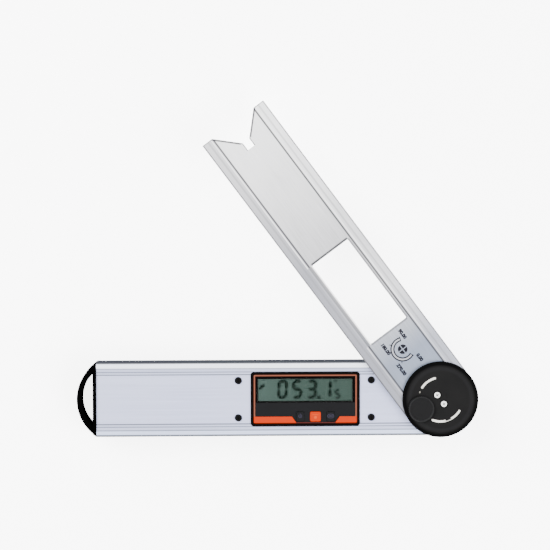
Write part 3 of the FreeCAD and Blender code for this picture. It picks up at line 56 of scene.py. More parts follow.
# Shader helpers.
class Shader:
    """A node material under construction. Its methods return sockets."""

    def __init__(self, name):
        self.material = bpy.data.materials.new(name)
        self.material.use_nodes = True
        self.tree = self.material.node_tree
        self.surface = self.tree.nodes["Principled BSDF"]
        self.coords = self.tree.nodes.new("ShaderNodeTexCoord")

    def node(self, kind, inputs=None, **settings):
        made = self.tree.nodes.new(kind)
        for key, value in settings.items():
            setattr(made, key, value)
        for key, value in (inputs or {}).items():
            self.feed(made.inputs[key], value)
        return made

    def feed(self, socket, value):
        """A socket is linked, and a constant is set on the socket itself."""
        if isinstance(value, bpy.types.NodeSocket):
            self.tree.links.new(value, socket)
        elif isinstance(value, (tuple, list)) and len(value) == 3 and socket.type == "RGBA":
            socket.default_value = (*value, 1.0)
        else:
            socket.default_value = value

    def local(self, angle=0.0):
        """Object coordinates, turned so that X lies at the angle."""
        if not angle:
            return self.coords.outputs["Object"]
        return self.node(
            "ShaderNodeVectorRotate", {"Vector": self.coords.outputs["Object"], "Angle": -angle},
            rotation_type="Z_AXIS").outputs["Vector"]

    def split(self, vector):
        return self.node("ShaderNodeSeparateXYZ", {"Vector": vector}).outputs

    def stretched(self, vector, scale):
        return self.node("ShaderNodeMapping", {"Vector": vector, "Scale": scale}).outputs["Vector"]

    def noise(self, vector, scale, detail=4.0, rough=0.55):
        inputs = {"Vector": vector, "Scale": scale, "Detail": detail, "Roughness": rough}
        return self.node("ShaderNodeTexNoise", inputs).outputs["Fac"]

    def maths(self, operation, first, second=0.0):
        made = self.node("ShaderNodeMath", operation=operation)
        self.feed(made.inputs[0], first)
        self.feed(made.inputs[1], second)
        return made.outputs[0]

    def ranged(self, value, low, high, to_low=0.0, to_high=1.0):
        inputs = {"Value": value, "From Min": low, "From Max": high, "To Min": to_low, "To Max": to_high}
        return self.node("ShaderNodeMapRange", inputs).outputs["Result"]

    def band(self, value, middle, half, soft):
        """1 where value is within half of middle, falling to 0 over soft."""
        off = self.maths("ABSOLUTE", self.maths("SUBTRACT", value, middle))
        return self.ranged(off, half, half + soft, 1.0, 0.0)

    def mix(self, factor, first, second):
        """Two colours mixed. Inputs 6 and 7 and output 2 are the node's colour sockets."""
        made = self.node("ShaderNodeMix", data_type="RGBA")
        self.feed(made.inputs["Factor"], factor)
        self.feed(made.inputs[6], first)
        self.feed(made.inputs[7], second)
        return made.outputs[2]

    def bump(self, height, distance, strength=1.0):
        inputs = {"Height": height, "Distance": distance, "Strength": strength}
        return self.node("ShaderNodeBump", inputs).outputs["Normal"]

    def reach(self, centre=(0, 0, 0)):
        """Distance from the centre's vertical axis."""
        x, y, z = self.split(self.node(
            "ShaderNodeVectorMath", {0: self.coords.outputs["Object"], 1: centre},
            operation="SUBTRACT").outputs["Vector"])
        square = self.maths("ADD", self.maths("MULTIPLY", x, x), self.maths("MULTIPLY", y, y))
        return self.maths("SQRT", square)

    def lay(self, mask, strength, below, colour):
        """The colour laid over what is below, where the mask is set."""
        return self.mix(self.maths("MULTIPLY", mask, strength), below, colour)

    def finish(self, **inputs):
        names = {"colour": "Base Color", "metal": "Metallic", "rough": "Roughness", "normal": "Normal",
                 "specular": "Specular IOR Level", "glow": "Emission Strength",
                 "glow_colour": "Emission Color"}
        for key, value in inputs.items():
            self.feed(self.surface.inputs[names[key]], value)
        return self.material


def shade(colour, factor):
    """The colour made lighter or darker."""
    return tuple(min(1.0, channel * factor) for channel in colour)


def plain_finish(name, colour, metal, rough, grain=900.0, spread=0.08, depth=0.00001, specular=0.5):
    """A moulded, turned or plated finish: fine grain in colour, roughness and relief."""
    shader = Shader(name)
    grainy = shader.noise(shader.local(), grain)
    cloudy = shader.noise(shader.local(), grain / 30)
    tone = shader.mix(cloudy, shade(colour, 1 - spread), shade(colour, 1 + spread))
    roughness = shader.ranged(grainy, 0.3, 0.7, rough - 0.06, rough + 0.06)
    return shader.finish(colour=tone, metal=metal, rough=roughness,
                         normal=shader.bump(grainy, depth, 0.5), specular=specular)


def turned_finish(name, colour, rough):
    """A lathe-turned metal: fine rings about the pivot."""
    shader = Shader(name)
    x, y, z = shader.split(shader.local())
    flat = shader.node("ShaderNodeCombineXYZ", {"X": shader.reach(), "Y": z}).outputs["Vector"]
    rings = shader.noise(flat, 2600.0, 3.0)
    tone = shader.mix(rings, shade(colour, 0.85), shade(colour, 1.1))
    roughness = shader.ranged(rings, 0.2, 0.8, rough - 0.08, rough + 0.08)
    return shader.finish(colour=tone, metal=1.0, rough=roughness, normal=shader.bump(rings, 0.00001, 0.4))


# The arms' aluminium.
SCREW_HEAD = 0.0024
RAIL_EDGE = 0.018
RAIL_LINE = 0.01995
LAND_EDGE = 0.0225
UPPER_RIM_SHADE = 0.0259
LOWER_RIM_SHADE = 0.0254
FLANK_START = 0.0264
SCREW_SHADOW = (0.01, 0.01, 0.012)


def base_aluminium():
    """Satin web; a painted highlight on the upper land and painted shade on the lower land; painted shade in the
    grooves, along the front face's rims and round the screw heads; narrow sides coloured near black as painted
    shade.
    """
    shader = Shader("base_satin_aluminium")
    place = shader.local()
    x, y, z = shader.split(place)
    side = shader.maths("ABSOLUTE", y)
    drawn = shader.noise(shader.stretched(place, (14.0, 1500.0, 1500.0)), 1.0, 5.0)
    grain = shader.noise(place, 2600.0, 2.0)
    cloud = shader.noise(place, 9.0, 2.0)
    web = shader.mix(drawn, (0.39, 0.42, 0.60), (0.48, 0.51, 0.72))
    web = shader.mix(shader.ranged(cloud, 0.35, 0.65), web, (0.46, 0.49, 0.66))
    # Painted highlight: the upper land is coloured near white; the lower land gets a darker copy as painted shade.
    land = shader.mix(drawn, (0.80, 0.84, 0.99), (0.92, 0.95, 1.0))
    shaded_lower_land = shader.mix(drawn, (0.40, 0.47, 0.68), (0.48, 0.55, 0.78))
    land = shader.lay(shader.ranged(y, 0.001, -0.001), 0.85, land, shaded_lower_land)
    rail = shader.mix(drawn, (0.36, 0.39, 0.53), (0.43, 0.46, 0.62))
    on_land = shader.ranged(side, LAND_EDGE, LAND_EDGE + 0.0001)
    on_rail = shader.ranged(side, RAIL_EDGE - 0.00005, RAIL_EDGE + 0.00005)
    tone = shader.mix(on_rail, web, rail)
    tone = shader.mix(on_land, tone, land)
    # Painted shade: dark lines at the rail edge, the rail line and the land edge, where the steps and grooves fall
    # in shade.
    for place_y, depth in ((RAIL_EDGE, 0.85), (RAIL_LINE, 0.5), (LAND_EDGE, 0.6)):
        line = shader.band(side, place_y, 0.0002, 0.0003)
        tone = shader.mix(shader.maths("MULTIPLY", line, depth), tone, (0.06, 0.065, 0.08))
    # Painted shade: the narrow sides are coloured near black, with no metal and no gloss, standing in for shade
    # and a dark reflection.
    facing = shader.split(shader.coords.outputs["Normal"])
    flank = shader.ranged(shader.maths("ABSOLUTE", facing[1]), 0.5, 0.65)
    shaded_side = shader.maths("MULTIPLY", flank, shader.ranged(side, FLANK_START, FLANK_START + 0.0002))
    tone = shader.mix(shaded_side, tone, shader.mix(drawn, (0.012, 0.013, 0.016), (0.026, 0.028, 0.033)))
    # Painted shade: a dark band along the front face's rims, wider at the top.
    rim_shade_start = shader.ranged(y, -0.001, 0.001, LOWER_RIM_SHADE, UPPER_RIM_SHADE)
    rim = shader.maths("MULTIPLY", shader.ranged(side, rim_shade_start, shader.maths("ADD", rim_shade_start, 0.0002)),
                       shader.ranged(shaded_side, 0.0, 1.0, 1.0, 0.0))
    tone = shader.lay(rim, 0.9, tone, (0.06, 0.065, 0.075))
    # Painted shadow: a dark ring on the web round each display screw head.
    low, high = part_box("display_screws")
    middle, spread = (low + high) / 2, (high - low) / 2
    squares = []
    for socket, centre, reach in ((x, middle.x, spread.x), (y, middle.y, spread.y)):
        off = shader.maths("ABSOLUTE", shader.maths("SUBTRACT", socket, centre))
        off = shader.maths("SUBTRACT", off, reach - SCREW_HEAD)
        squares.append(shader.maths("MULTIPLY", off, off))
    screw_reach = shader.maths("SQRT", shader.maths("ADD", *squares))
    in_screw_shadow = shader.ranged(screw_reach, SCREW_HEAD + 0.0002, SCREW_HEAD + 0.0005, 1.0, 0.0)
    tone = shader.lay(in_screw_shadow, 0.95, tone, SCREW_SHADOW)
    rough = shader.ranged(drawn, 0.25, 0.75, 0.36, 0.5)
    relief = shader.maths("ADD", drawn, shader.maths("MULTIPLY", grain, 0.5))
    return shader.finish(
        colour=tone, metal=shader.ranged(shaded_side, 0.0, 1.0, 0.55, 0.0), rough=rough,
        specular=shader.ranged(shaded_side, 0.0, 1.0, 0.5, 0.0), normal=shader.bump(relief, 0.00002, 0.3))


BLADE_LENGTH = 0.25
BLADE_HALF = 0.0273
WEB_HALF = 0.0187
WINDOW = (0.0623, 0.1335, 0.016)
SLOT_HALF = 0.0029
SLOT_DEPTH = 0.0062
HUB_SHADE = (0.04, 0.085)
TIP_SHADE = (0.13, 0.225)
HIGHLIGHT_LINE = 0.0199
BLADE_GROOVE = 0.0225
BLADE_OUTLINE = 0.0011
PAINTED_HIGHLIGHT = (0.95, 0.95, 0.96)


def blade_aluminium():
    """Web brushed along the blade and satin rails, painted lighter toward the tip and darker toward the hub;
    painted shade and highlight lines beside the web; painted shade on the left rail, grooves, outer edges, narrow
    sides, window walls and tip; a painted highlight on the window's rim.
    """
    shader = Shader("blade_brushed_aluminium")
    place = shader.local(HEADING)
    u, v, z = shader.split(place)
    side = shader.maths("ABSOLUTE", v)
    streaks = shader.noise(shader.stretched(place, (22.0, 1400.0, 1400.0)), 1.0, 6.0, 0.7)
    fine = shader.noise(shader.stretched(place, (60.0, 4200.0, 4200.0)), 1.0, 3.0)
    both = shader.maths("ADD", shader.maths("MULTIPLY", streaks, 0.6), shader.maths("MULTIPLY", fine, 0.4))
    patches = shader.noise(shader.stretched(place, (30.0, 60.0, 60.0)), 1.0, 2.0)
    # Painted light: web and rails grow lighter toward the tip and darker toward the hub, a painted reflection
    # gradient along the blade.
    lit_toward_tip = shader.ranged(u, *TIP_SHADE)
    shaded_near_hub = shader.ranged(u, *HUB_SHADE, 1.0, 0.0)
    web = shader.mix(shader.ranged(both, 0.3, 0.7), (0.30, 0.30, 0.315), (0.62, 0.62, 0.64))
    web = shader.mix(lit_toward_tip, web, shader.mix(both, (0.72, 0.72, 0.73), (0.96, 0.96, 0.97)))
    web = shader.lay(shaded_near_hub, 0.95, web, shader.mix(both, (0.12, 0.145, 0.20), (0.21, 0.245, 0.32)))
    rail = shader.mix(shader.ranged(both, 0.3, 0.7), (0.50, 0.50, 0.52), (0.68, 0.68, 0.70))
    rail = shader.mix(lit_toward_tip, rail, (0.86, 0.86, 0.87))
    rail = shader.lay(shaded_near_hub, 0.85, rail, (0.26, 0.275, 0.33))
    # Painted shade: the left rail is coloured darker than the right rail.
    left = shader.ranged(v, -0.002, 0.002)
    rail = shader.lay(left, 0.85, rail, shader.mix(lit_toward_tip, (0.2, 0.205, 0.24), (0.5, 0.5, 0.52)))
    tone = shader.mix(shader.ranged(side, WEB_HALF, WEB_HALF + 0.0001), web, rail)
    tone = shader.lay(shader.ranged(patches, 0.5, 0.75), 0.15, tone, (0.32, 0.32, 0.34))
    start, end, half = WINDOW
    beside = shader.band(u, (start + end) / 2, (end - start) / 2, 0.0001)
    by_window = shader.maths("MULTIPLY", beside, left)
    # Painted shade: a dark line along each step beside the web, weaker by the window; then a pale painted
    # highlight line beside it.
    web_shade_line = shader.band(side, WEB_HALF - 0.0003, 0.00045, 0.0003)
    tone = shader.lay(web_shade_line, shader.ranged(by_window, 0.0, 1.0, 0.9, 0.5), tone, (0.04, 0.04, 0.045))
    highlight_line = shader.band(side, HIGHLIGHT_LINE, 0.0003, 0.0003)
    light = shader.maths("MULTIPLY", shader.ranged(by_window, 0.0, 1.0, 0.7, 0.1),
                         shader.ranged(u, *HUB_SHADE, 0.2, 1.0))
    tone = shader.lay(highlight_line, light, tone, PAINTED_HIGHLIGHT)
    # Painted shade: the blade's narrow sides, apart from the groove, are coloured near black, with little metal
    # and no gloss.
    facing = shader.split(shader.coords.outputs["Normal"])
    flank = shader.ranged(shader.maths("ABSOLUTE", facing[2]), 0.93, 0.75)
    groove = shader.maths("MULTIPLY", flank, shader.band(side, BLADE_GROOVE, 0.0006, 0.0002))
    edge = shader.maths("SUBTRACT", flank, groove)
    # Painted shade: the groove line and a band along the blade's outer edges are darkened.
    tone = shader.lay(shader.band(side, BLADE_GROOVE, 0.0005, 0.0003), 0.35, tone, (0.2, 0.2, 0.21))
    outline = shader.ranged(side, BLADE_HALF - BLADE_OUTLINE, BLADE_HALF - BLADE_OUTLINE + 0.0003)
    tone = shader.lay(outline, shader.ranged(left, 0.0, 1.0, 0.68, 0.85), tone, (0.08, 0.08, 0.09))

    # Painted shade on the window's walls and ends, and a painted highlight along its left rim.
    window_right_shade = shader.maths("MULTIPLY", beside, shader.band(v, -half - 0.0006, 0.0004, 0.0003))
    window_left_shade = shader.maths("MULTIPLY", beside, shader.band(v, half + 0.0013, 0.0004, 0.0003))
    window_rim_highlight = shader.maths("MULTIPLY", beside, shader.band(v, half + 0.0003, 0.0005, 0.0002))
    across = shader.band(side, 0.0, half, 0.0001)
    far_end_shade = shader.maths("MULTIPLY", across, shader.band(u, end + 0.0006, 0.0008, 0.0003))
    near_end_shade = shader.maths("MULTIPLY", across, shader.band(u, start - 0.0004, 0.0006, 0.0003))
    tone = shader.lay(window_right_shade, 0.75, tone, (0.1, 0.1, 0.11))
    tone = shader.lay(window_left_shade, 0.6, tone, (0.1, 0.1, 0.11))
    tone = shader.lay(window_rim_highlight, 0.9, tone, (1.0, 1.0, 1.0))
    tone = shader.lay(far_end_shade, 0.95, tone, (0.03, 0.03, 0.035))
    tone = shader.lay(near_end_shade, 0.7, tone, (0.08, 0.08, 0.09))

    # Painted shade along the tip's V-notch, the relief slot's walls and the rail ends.
    throat = BLADE_LENGTH - (WEB_HALF - SLOT_HALF)
    slope = shader.maths("SUBTRACT", shader.maths("SUBTRACT", side, SLOT_HALF),
                         shader.maths("SUBTRACT", u, throat))
    notch_shade = shader.maths("MULTIPLY", shader.band(slope, 0.0006, 0.001, 0.0004),
                         shader.ranged(u, throat, throat + 0.0002))
    slot_wall_shade = shader.maths("MULTIPLY", shader.band(side, SLOT_HALF, 0.0005, 0.0003),
                        shader.band(u, throat - SLOT_DEPTH / 2, SLOT_DEPTH / 2, 0.0002))
    rail_end_shade = shader.maths("MULTIPLY", shader.ranged(side, WEB_HALF, WEB_HALF + 0.0002),
                            shader.ranged(u, BLADE_LENGTH - 0.0008, BLADE_LENGTH - 0.0005))
    tone = shader.lay(notch_shade, 0.9, tone, (0.03, 0.03, 0.035))
    tone = shader.lay(slot_wall_shade, 0.9, tone, (0.03, 0.03, 0.035))
    tone = shader.lay(rail_end_shade, 0.8, tone, (0.06, 0.06, 0.07))
    # Painted shade on the blade's narrow sides.
    tone = shader.lay(edge, 0.8, tone, (0.07, 0.07, 0.075))
    rough = shader.ranged(both, 0.3, 0.7, 0.3, 0.46)
    return shader.finish(
        colour=tone, metal=shader.ranged(edge, 0.0, 1.0, 0.5, 0.1), rough=rough,
        specular=shader.ranged(edge, 0.0, 1.0, 0.5, 0.0), normal=shader.bump(both, 0.00002, 0.4))


# Display finishes.
def clear_window():
    """Thin clear cover: mostly see-through with a faint gloss."""
    shader = Shader("clear_window")
    tree = shader.tree
    through = shader.node("ShaderNodeBsdfTransparent", {"Color": (0.93, 0.96, 0.94)})
    wave = shader.noise(shader.local(), 60.0, 2.0)
    gloss = shader.node("ShaderNodeBsdfGlossy", {
        "Color": (0.9, 0.95, 0.95), "Roughness": shader.ranged(wave, 0.3, 0.7, 0.03, 0.08)})
    blend = shader.node("ShaderNodeMixShader", {0: 0.008, 1: through.outputs[0], 2: gloss.outputs[0]})
    output = tree.nodes["Material Output"]
    tree.links.new(blend.outputs[0], output.inputs["Surface"])
    return shader.material


def lcd_finish():
    """Grey-green display glass with a fine speckle, painted a little paler at its left end as a painted
    reflection.
    """
    shader = Shader("lcd_grey_green")
    x, y, z = shader.split(shader.local())
    speckle = shader.noise(shader.local(), 3000.0, 2.0)
    # Painted reflection: the glass is paler toward its left end.
    slope = shader.ranged(x, -0.130, -0.095)
    tone = shader.mix(slope, (0.031, 0.046, 0.043), (0.022, 0.034, 0.0305))
    tone = shader.mix(shader.maths("MULTIPLY", speckle, 0.15), tone, (0.037, 0.052, 0.046))
    return shader.finish(colour=tone, metal=0.0, rough=0.35, specular=0.05,
                         normal=shader.bump(speckle, 0.000004, 0.3))


KEYS_MIDDLE = -0.09015
KEYS_HALF = 0.0141
TRIM_EDGE_SHADOW = (0.006, 0.0015, 0.001)


def trim_finish():
    """Orange trim: a bright lower band, with sides and top a duller copy as painted shade; painted shade under the
    keys and along the top band, and a painted shadow round the trim's edges.
    """
    shader = Shader("orange_trim_plastic")
    x, y, z = shader.split(shader.local())
    grainy = shader.noise(shader.local(), 900.0)
    low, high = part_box("display_trim")
    # Painted shade: the sides and top are a darker, duller copy of the lower band's orange.
    upper = shader.ranged(y, low.y + 0.0049, low.y + 0.0056)
    bright = shader.mix(grainy, (0.30, 0.016, 0.001), (0.33, 0.02, 0.0012))
    dull = shader.mix(grainy, (0.13, 0.041, 0.025), (0.145, 0.046, 0.029))
    from_side = shader.maths("MINIMUM", shader.maths("SUBTRACT", x, low.x),
                             shader.maths("SUBTRACT", high.x, x))
    from_low = shader.maths("SUBTRACT", y, low.y)
    from_top = shader.maths("SUBTRACT", high.y, y)
    tone = shader.mix(upper, bright, dull)
    # Painted shade on the trim under the keys.
    shade_under_keys = shader.maths("MULTIPLY", shader.ranged(from_low, 0.0013, 0.0015, 1.0, 0.0),
                              shader.band(x, KEYS_MIDDLE, KEYS_HALF, 0.0006))
    tone = shader.lay(shade_under_keys, 0.9, tone, (0.055, 0.02, 0.02))
    top_shade = shader.maths("MULTIPLY", shader.ranged(from_side, 0.0013, 0.0015),
                             shader.band(from_top, 0.0015, 0.0002, 0.0002))
    tone = shader.lay(top_shade, 0.85, tone, (0.008, 0.003, 0.002))
    # Painted shadow: dark bands along the trim's outer sides, bottom and top.
    for inset, reach in ((from_side, 0.0003), (from_low, 0.0006), (from_top, 0.0003)):
        tone = shader.lay(shader.ranged(inset, reach, reach + 0.0003, 1.0, 0.0), 0.85, tone, TRIM_EDGE_SHADOW)
    return shader.finish(colour=tone, metal=0.0, specular=0.02,
                         rough=shader.ranged(grainy, 0.3, 0.7, 0.32, 0.42),
                         normal=shader.bump(grainy, 0.00001, 0.4))


SLOT_RADIUS = 0.016
SHORT_SLOT = math.radians(33.5)


def cap_finish():
    """Black moulded cap: grained flat, painted shade on the sloping rim, a painted highlight line where the slope
    starts.
    """
    shader = Shader("cap_grained_black")
    grainy = shader.noise(shader.local(), 1800.0, 3.0)
    cloudy = shader.noise(shader.local(), 90.0, 2.0)
    reach = shader.reach()
    tone = shader.mix(cloudy, (0.0046, 0.0046, 0.0049), (0.0082, 0.008, 0.0078))
    tone = shader.mix(shader.maths("MULTIPLY", grainy, 0.4), tone, (0.008, 0.008, 0.008))
    # Painted highlight where the slope starts, then painted shade over the sloping rim.
    tone = shader.lay(shader.band(reach, 0.0222, 0.0007, 0.0008), 0.3, tone, (0.011, 0.011, 0.012))
    tone = shader.lay(shader.ranged(reach, 0.0238, 0.0255), 0.9, tone, (0.0006, 0.0006, 0.0007))
    return shader.finish(colour=tone, metal=0.0, rough=shader.ranged(grainy, 0.3, 0.7, 0.5, 0.62),
                         specular=0.01, normal=shader.bump(grainy, 0.00003, 0.5))


def knob_finish():
    """Knob with a painted highlight on the raised rim round the dished face, and painted shade outside it."""
    shader = Shader("knob_grained_black")
    grainy = shader.noise(shader.local(), 1500.0, 3.0)
    reach = shader.reach((KNOB_AXIS.x, KNOB_AXIS.y, 0))
    tone = shader.mix(grainy, (0.0028, 0.0028, 0.003), (0.0052, 0.0052, 0.0054))
    # Painted highlight on the raised rim, and painted shade outside it.
    tone = shader.lay(shader.band(reach, 0.0086, 0.0003, 0.0005), 0.6, tone, (0.012, 0.012, 0.0125))
    tone = shader.lay(shader.ranged(reach, 0.0091, 0.0094), 0.8, tone, (0.001, 0.001, 0.0011))
    return shader.finish(colour=tone, metal=0.0, rough=shader.ranged(grainy, 0.3, 0.7, 0.42, 0.55),
                         specular=0.06, normal=shader.bump(grainy, 0.00002, 0.5))


def ring_finish():
    """Bright metal ring, with painted shade where it shows under the short slot."""
    shader = Shader("bright_slot_ring")
    grainy = shader.noise(shader.local(), 800.0)
    tone = shader.mix(grainy, (0.86, 0.83, 0.76), (0.94, 0.91, 0.84))
    short_slot = HEADING + SHORT_SLOT
    spot = (SLOT_RADIUS * math.cos(short_slot), SLOT_RADIUS * math.sin(short_slot), 0.0)
    # Painted shade on the ring where it shows under the short slot.
    short_slot_shade = shader.ranged(shader.reach(spot), 0.0015, 0.0019, 1.0, 0.0)
    tone = shader.lay(short_slot_shade, 0.9, tone, (0.14, 0.13, 0.11))
    return shader.finish(colour=tone, metal=0.4, rough=shader.ranged(grainy, 0.3, 0.7, 0.2, 0.3),
                         normal=shader.bump(grainy, 0.00001, 0.4))


def screw_finish():
    """Bright screw heads with painted shade in the cross recesses."""
    shader = Shader("bright_screw_plating")
    grainy = shader.noise(shader.local(), 900.0)
    x, y, z = shader.split(shader.local())
    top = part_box("hub_cap_screws")[1].z
    tone = shader.mix(grainy, (0.86, 0.85, 0.82), (0.97, 0.96, 0.93))
    # Painted shade in the cross recesses below the head's top.
    tone = shader.lay(shader.ranged(z, top - 0.00008, top - 0.0003), 0.85, tone, (0.03, 0.03, 0.032))
    return shader.finish(colour=tone, metal=0.35, rough=shader.ranged(grainy, 0.3, 0.7, 0.2, 0.32),
                         normal=shader.bump(grainy, 0.00001, 0.4))


FINISHES = {
    "satin_aluminium": base_aluminium(),
    "brushed_aluminium": blade_aluminium(),
    "black_plastic": plain_finish(
        "black_satin_plastic", (0.0007, 0.0007, 0.00075), 0.0, 0.55, 1500.0, 0.2, specular=0.0),
    "gloss_black": plain_finish(
        "bezel_gloss_black", (0.0015, 0.001, 0.001), 0.0, 0.22, 700.0, 0.15, specular=0.03),
    "orange_plastic": plain_finish(
        "orange_gloss_plastic", (0.30, 0.018, 0.001), 0.0, 0.35, 900.0, 0.06, specular=0.03),
    "dark_panel": plain_finish(
        "dark_panel_film", (0.0035, 0.0036, 0.0042), 0.0, 0.4, 1600.0, 0.15, specular=0.08),
    "clear_window": clear_window(),
    "lcd_glass": lcd_finish(),
    "cast_black": plain_finish("coated_casting", (0.03, 0.03, 0.034), 0.3, 0.55, 700.0, 0.15, 0.00006),
    "turned_steel": turned_finish("turned_steel", (0.56, 0.56, 0.58), 0.3),
    "black_steel": plain_finish(
        "black_oxide_steel", (0.0015, 0.0015, 0.0016), 0.0, 0.4, 1800.0, 0.2, specular=0.06),
    "zinc_steel": plain_finish("zinc_plated_steel", (0.62, 0.63, 0.66), 1.0, 0.32, 600.0, 0.12),
    "spring_steel": turned_finish("spring_steel", (0.38, 0.4, 0.44), 0.34),
    "bronze": turned_finish("turned_bronze", (0.62, 0.4, 0.18), 0.3),
    "nylon": plain_finish("natural_nylon", (0.72, 0.7, 0.62), 0.0, 0.5, 500.0, 0.05),
    "inner_plastic": plain_finish("inner_moulding", (0.05, 0.05, 0.052), 0.0, 0.5, 900.0, 0.12),
    "circuit_board": plain_finish("circuit_board_mask", (0.02, 0.17, 0.06), 0.0, 0.35, 400.0, 0.2),
    "component": plain_finish("component_body", (0.03, 0.03, 0.032), 0.0, 0.5, 900.0, 0.2),
    "rubber": plain_finish("soft_rubber", (0.035, 0.035, 0.035), 0.0, 0.7, 800.0, 0.2),
    "cable_film": plain_finish("cable_film", (0.6, 0.3, 0.05), 0.0, 0.3, 300.0, 0.15),
    "cell_can": plain_finish("nickel_can", (0.66, 0.65, 0.62), 1.0, 0.28, 500.0, 0.08),
}
SLOT_OF = {part["node"]: part["material_slot"] for part in frame["record"]["subparts"]}
OWN_FINISH = {"display_trim": trim_finish(), "hub_cap": cap_finish(), "lock_knob": knob_finish(),
              "hub_cap_screws": screw_finish(), "slot_ring": ring_finish()}
for name, node in NODES.items():
    node.data.materials.clear()
    node.data.materials.append(OWN_FINISH[name] if name in OWN_FINISH else FINISHES[SLOT_OF[name]])


# Printed marks.
INK_THICKNESS = 0.03 * MM


def print_on(name, outlines, level, matrix, finish, body):
    """Closed thin prisms over flat outlines given in millimetres about the matrix's origin."""
    mesh = bpy.data.meshes.new(name)
    build = bmesh.new()
    for outline in outlines:
        low = [build.verts.new(Vector((x * MM, y * MM, level - INK_THICKNESS / 2))) for x, y in outline]
        face = build.faces.new(low)
        grown = bmesh.ops.extrude_face_region(build, geom=[face])["geom"]
        verts = [part for part in grown if isinstance(part, bmesh.types.BMVert)]
        bmesh.ops.translate(build, verts=verts, vec=(0, 0, INK_THICKNESS))
    bmesh.ops.recalc_face_normals(build, faces=build.faces)
    build.to_mesh(mesh)
    build.free()
    mesh.transform(matrix)
    made = bpy.data.objects.new(name, mesh)
    bpy.context.scene.collection.objects.link(made)
    made.data.materials.append(finish)
    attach(made, body)


def polar(radius, degrees):
    return (radius * math.cos(math.radians(degrees)), radius * math.sin(math.radians(degrees)))


def arc_line(radius, width, start, end, steps=24):
    """The outline of an arc stroke, angles in degrees."""
    outline = []
    for reach, order in ((radius + width / 2, 1), (radius - width / 2, -1)):
        for step in range(steps + 1)[::order]:
            outline.append(polar(reach, start + (end - start) * step / steps))
    return outline


def stroke(x0, y0, x1, y1, width):
    """The outline of a straight stroke."""
    run = Vector((x1 - x0, y1 - y0)).normalized() * (width / 2)
    return [(x0 + run.y, y0 - run.x), (x1 + run.y, y1 - run.x),
            (x1 - run.y, y1 + run.x), (x0 - run.y, y0 + run.x)]


def disc(x, y, radius, steps=20):
    return [(x + radius * math.cos(2 * math.pi * k / steps), y + radius * math.sin(2 * math.pi * k / steps))
            for k in range(steps)]


# Segments: a top, b and c right, d bottom, e and f left, g middle.
DIGITS = {0: "abcdef", 1: "bc", 3: "abgcd", 5: "afgcd"}


def segment(kind, width, height, thick, gap):
    """One bar of a seven-segment digit, centred on the digit's middle."""
    half, tall = width / 2 - thick / 2, height / 2 - thick / 2
    level = {"a": tall, "g": 0.0, "d": -tall}.get(kind)
    tip = thick / 2
    if level is not None:
        ends = (-half + gap, half - gap)
        return [(ends[0], level), (ends[0] + tip, level - tip), (ends[1] - tip, level - tip),
                (ends[1], level), (ends[1] - tip, level + tip), (ends[0] + tip, level + tip)]
    side = half if kind in "bc" else -half
    ends = (gap, tall - gap) if kind in "bf" else (-tall + gap, -gap)
    return [(side, ends[0]), (side + tip, ends[0] + tip), (side + tip, ends[1] - tip),
            (side, ends[1]), (side - tip, ends[1] - tip), (side - tip, ends[0] + tip)]


def digit(value, x, y, width, height, thick, slant=0.0, gap=0.12):
    """The bars of a digit centred on (x, y), leaning by slant."""
    bars = []
    for kind in DIGITS[value]:
        bars.append([(x + a + slant * b, y + b) for a, b in segment(kind, width, height, thick, gap)])
    return bars


LCD_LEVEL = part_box("lcd_panel")[1].z
DIGIT_MIDDLE = 7.0
DIGIT_HEIGHT = 14.2
DIGIT_WIDTH = 7.9
DIGIT_PITCH = 10.65
FIRST_DIGIT = -114.3
DIGIT_BAR = 2.5
SLANT = 0.05
LAST_DIGIT = {"x": -74.2, "y": 3.4, "width": 4.6, "height": 7.4, "thick": 1.6}
reading = []
for place, value in enumerate((0, 5, 3, 1)):
    across = FIRST_DIGIT + DIGIT_PITCH * place
    reading += digit(value, across, DIGIT_MIDDLE, DIGIT_WIDTH, DIGIT_HEIGHT, DIGIT_BAR, SLANT, 0.05)
reading += digit(5, **LAST_DIGIT, slant=SLANT)
decimal_point = [(-89.1, -0.2), (-86.6, -0.2), (-86.5, 2.1), (-89.0, 2.1)]
degree_ring = [(x - 75.5, y + 12.9) for x, y in arc_line(0.75, 0.6, 0, 350, 18)]
left_sign = [(-132.2, 6.9), (-130.2, 6.9), (-127.4, 9.0), (-127.4, 10.8), (-129.6, 10.4)]
reading += [decimal_point, degree_ring, left_sign]
lcd_ink = plain_finish("lcd_segment_ink", (0.0012, 0.0045, 0.0032), 0.0, 0.45, 1500.0, 0.1, specular=0.0)
print_on("lcd_reading", reading, LCD_LEVEL + 0.02 * MM, Matrix(), lcd_ink, "base")


NUMBER_SIZE = 3.5
NUMBER_BOLD = 0.26


def plain_number(name, text, place, heading, size, level, finish, body):
    """A small printed number centred on place, read along the heading."""
    curve = bpy.data.curves.new(name + "_curve", "FONT")
    curve.body = text
    curve.size = size * MM
    curve.align_x = "CENTER"
    curve.align_y = "CENTER"
    curve.extrude = INK_THICKNESS / 2
    curve.offset = NUMBER_BOLD * MM
    curve.resolution_u = 3
    shaped = bpy.data.objects.new(name + "_shape", curve)
    mesh = bpy.data.meshes.new_from_object(shaped)
    bpy.data.objects.remove(shaped)
    bpy.data.curves.remove(curve)
    mesh.name = name
    mesh.transform(Matrix.Translation((*place, level)) @ Matrix.Rotation(heading, 4, "Z"))
    mesh.materials.clear()
    mesh.materials.append(finish)
    made = bpy.data.objects.new(name, mesh)
    bpy.context.scene.collection.objects.link(made)
    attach(made, body)


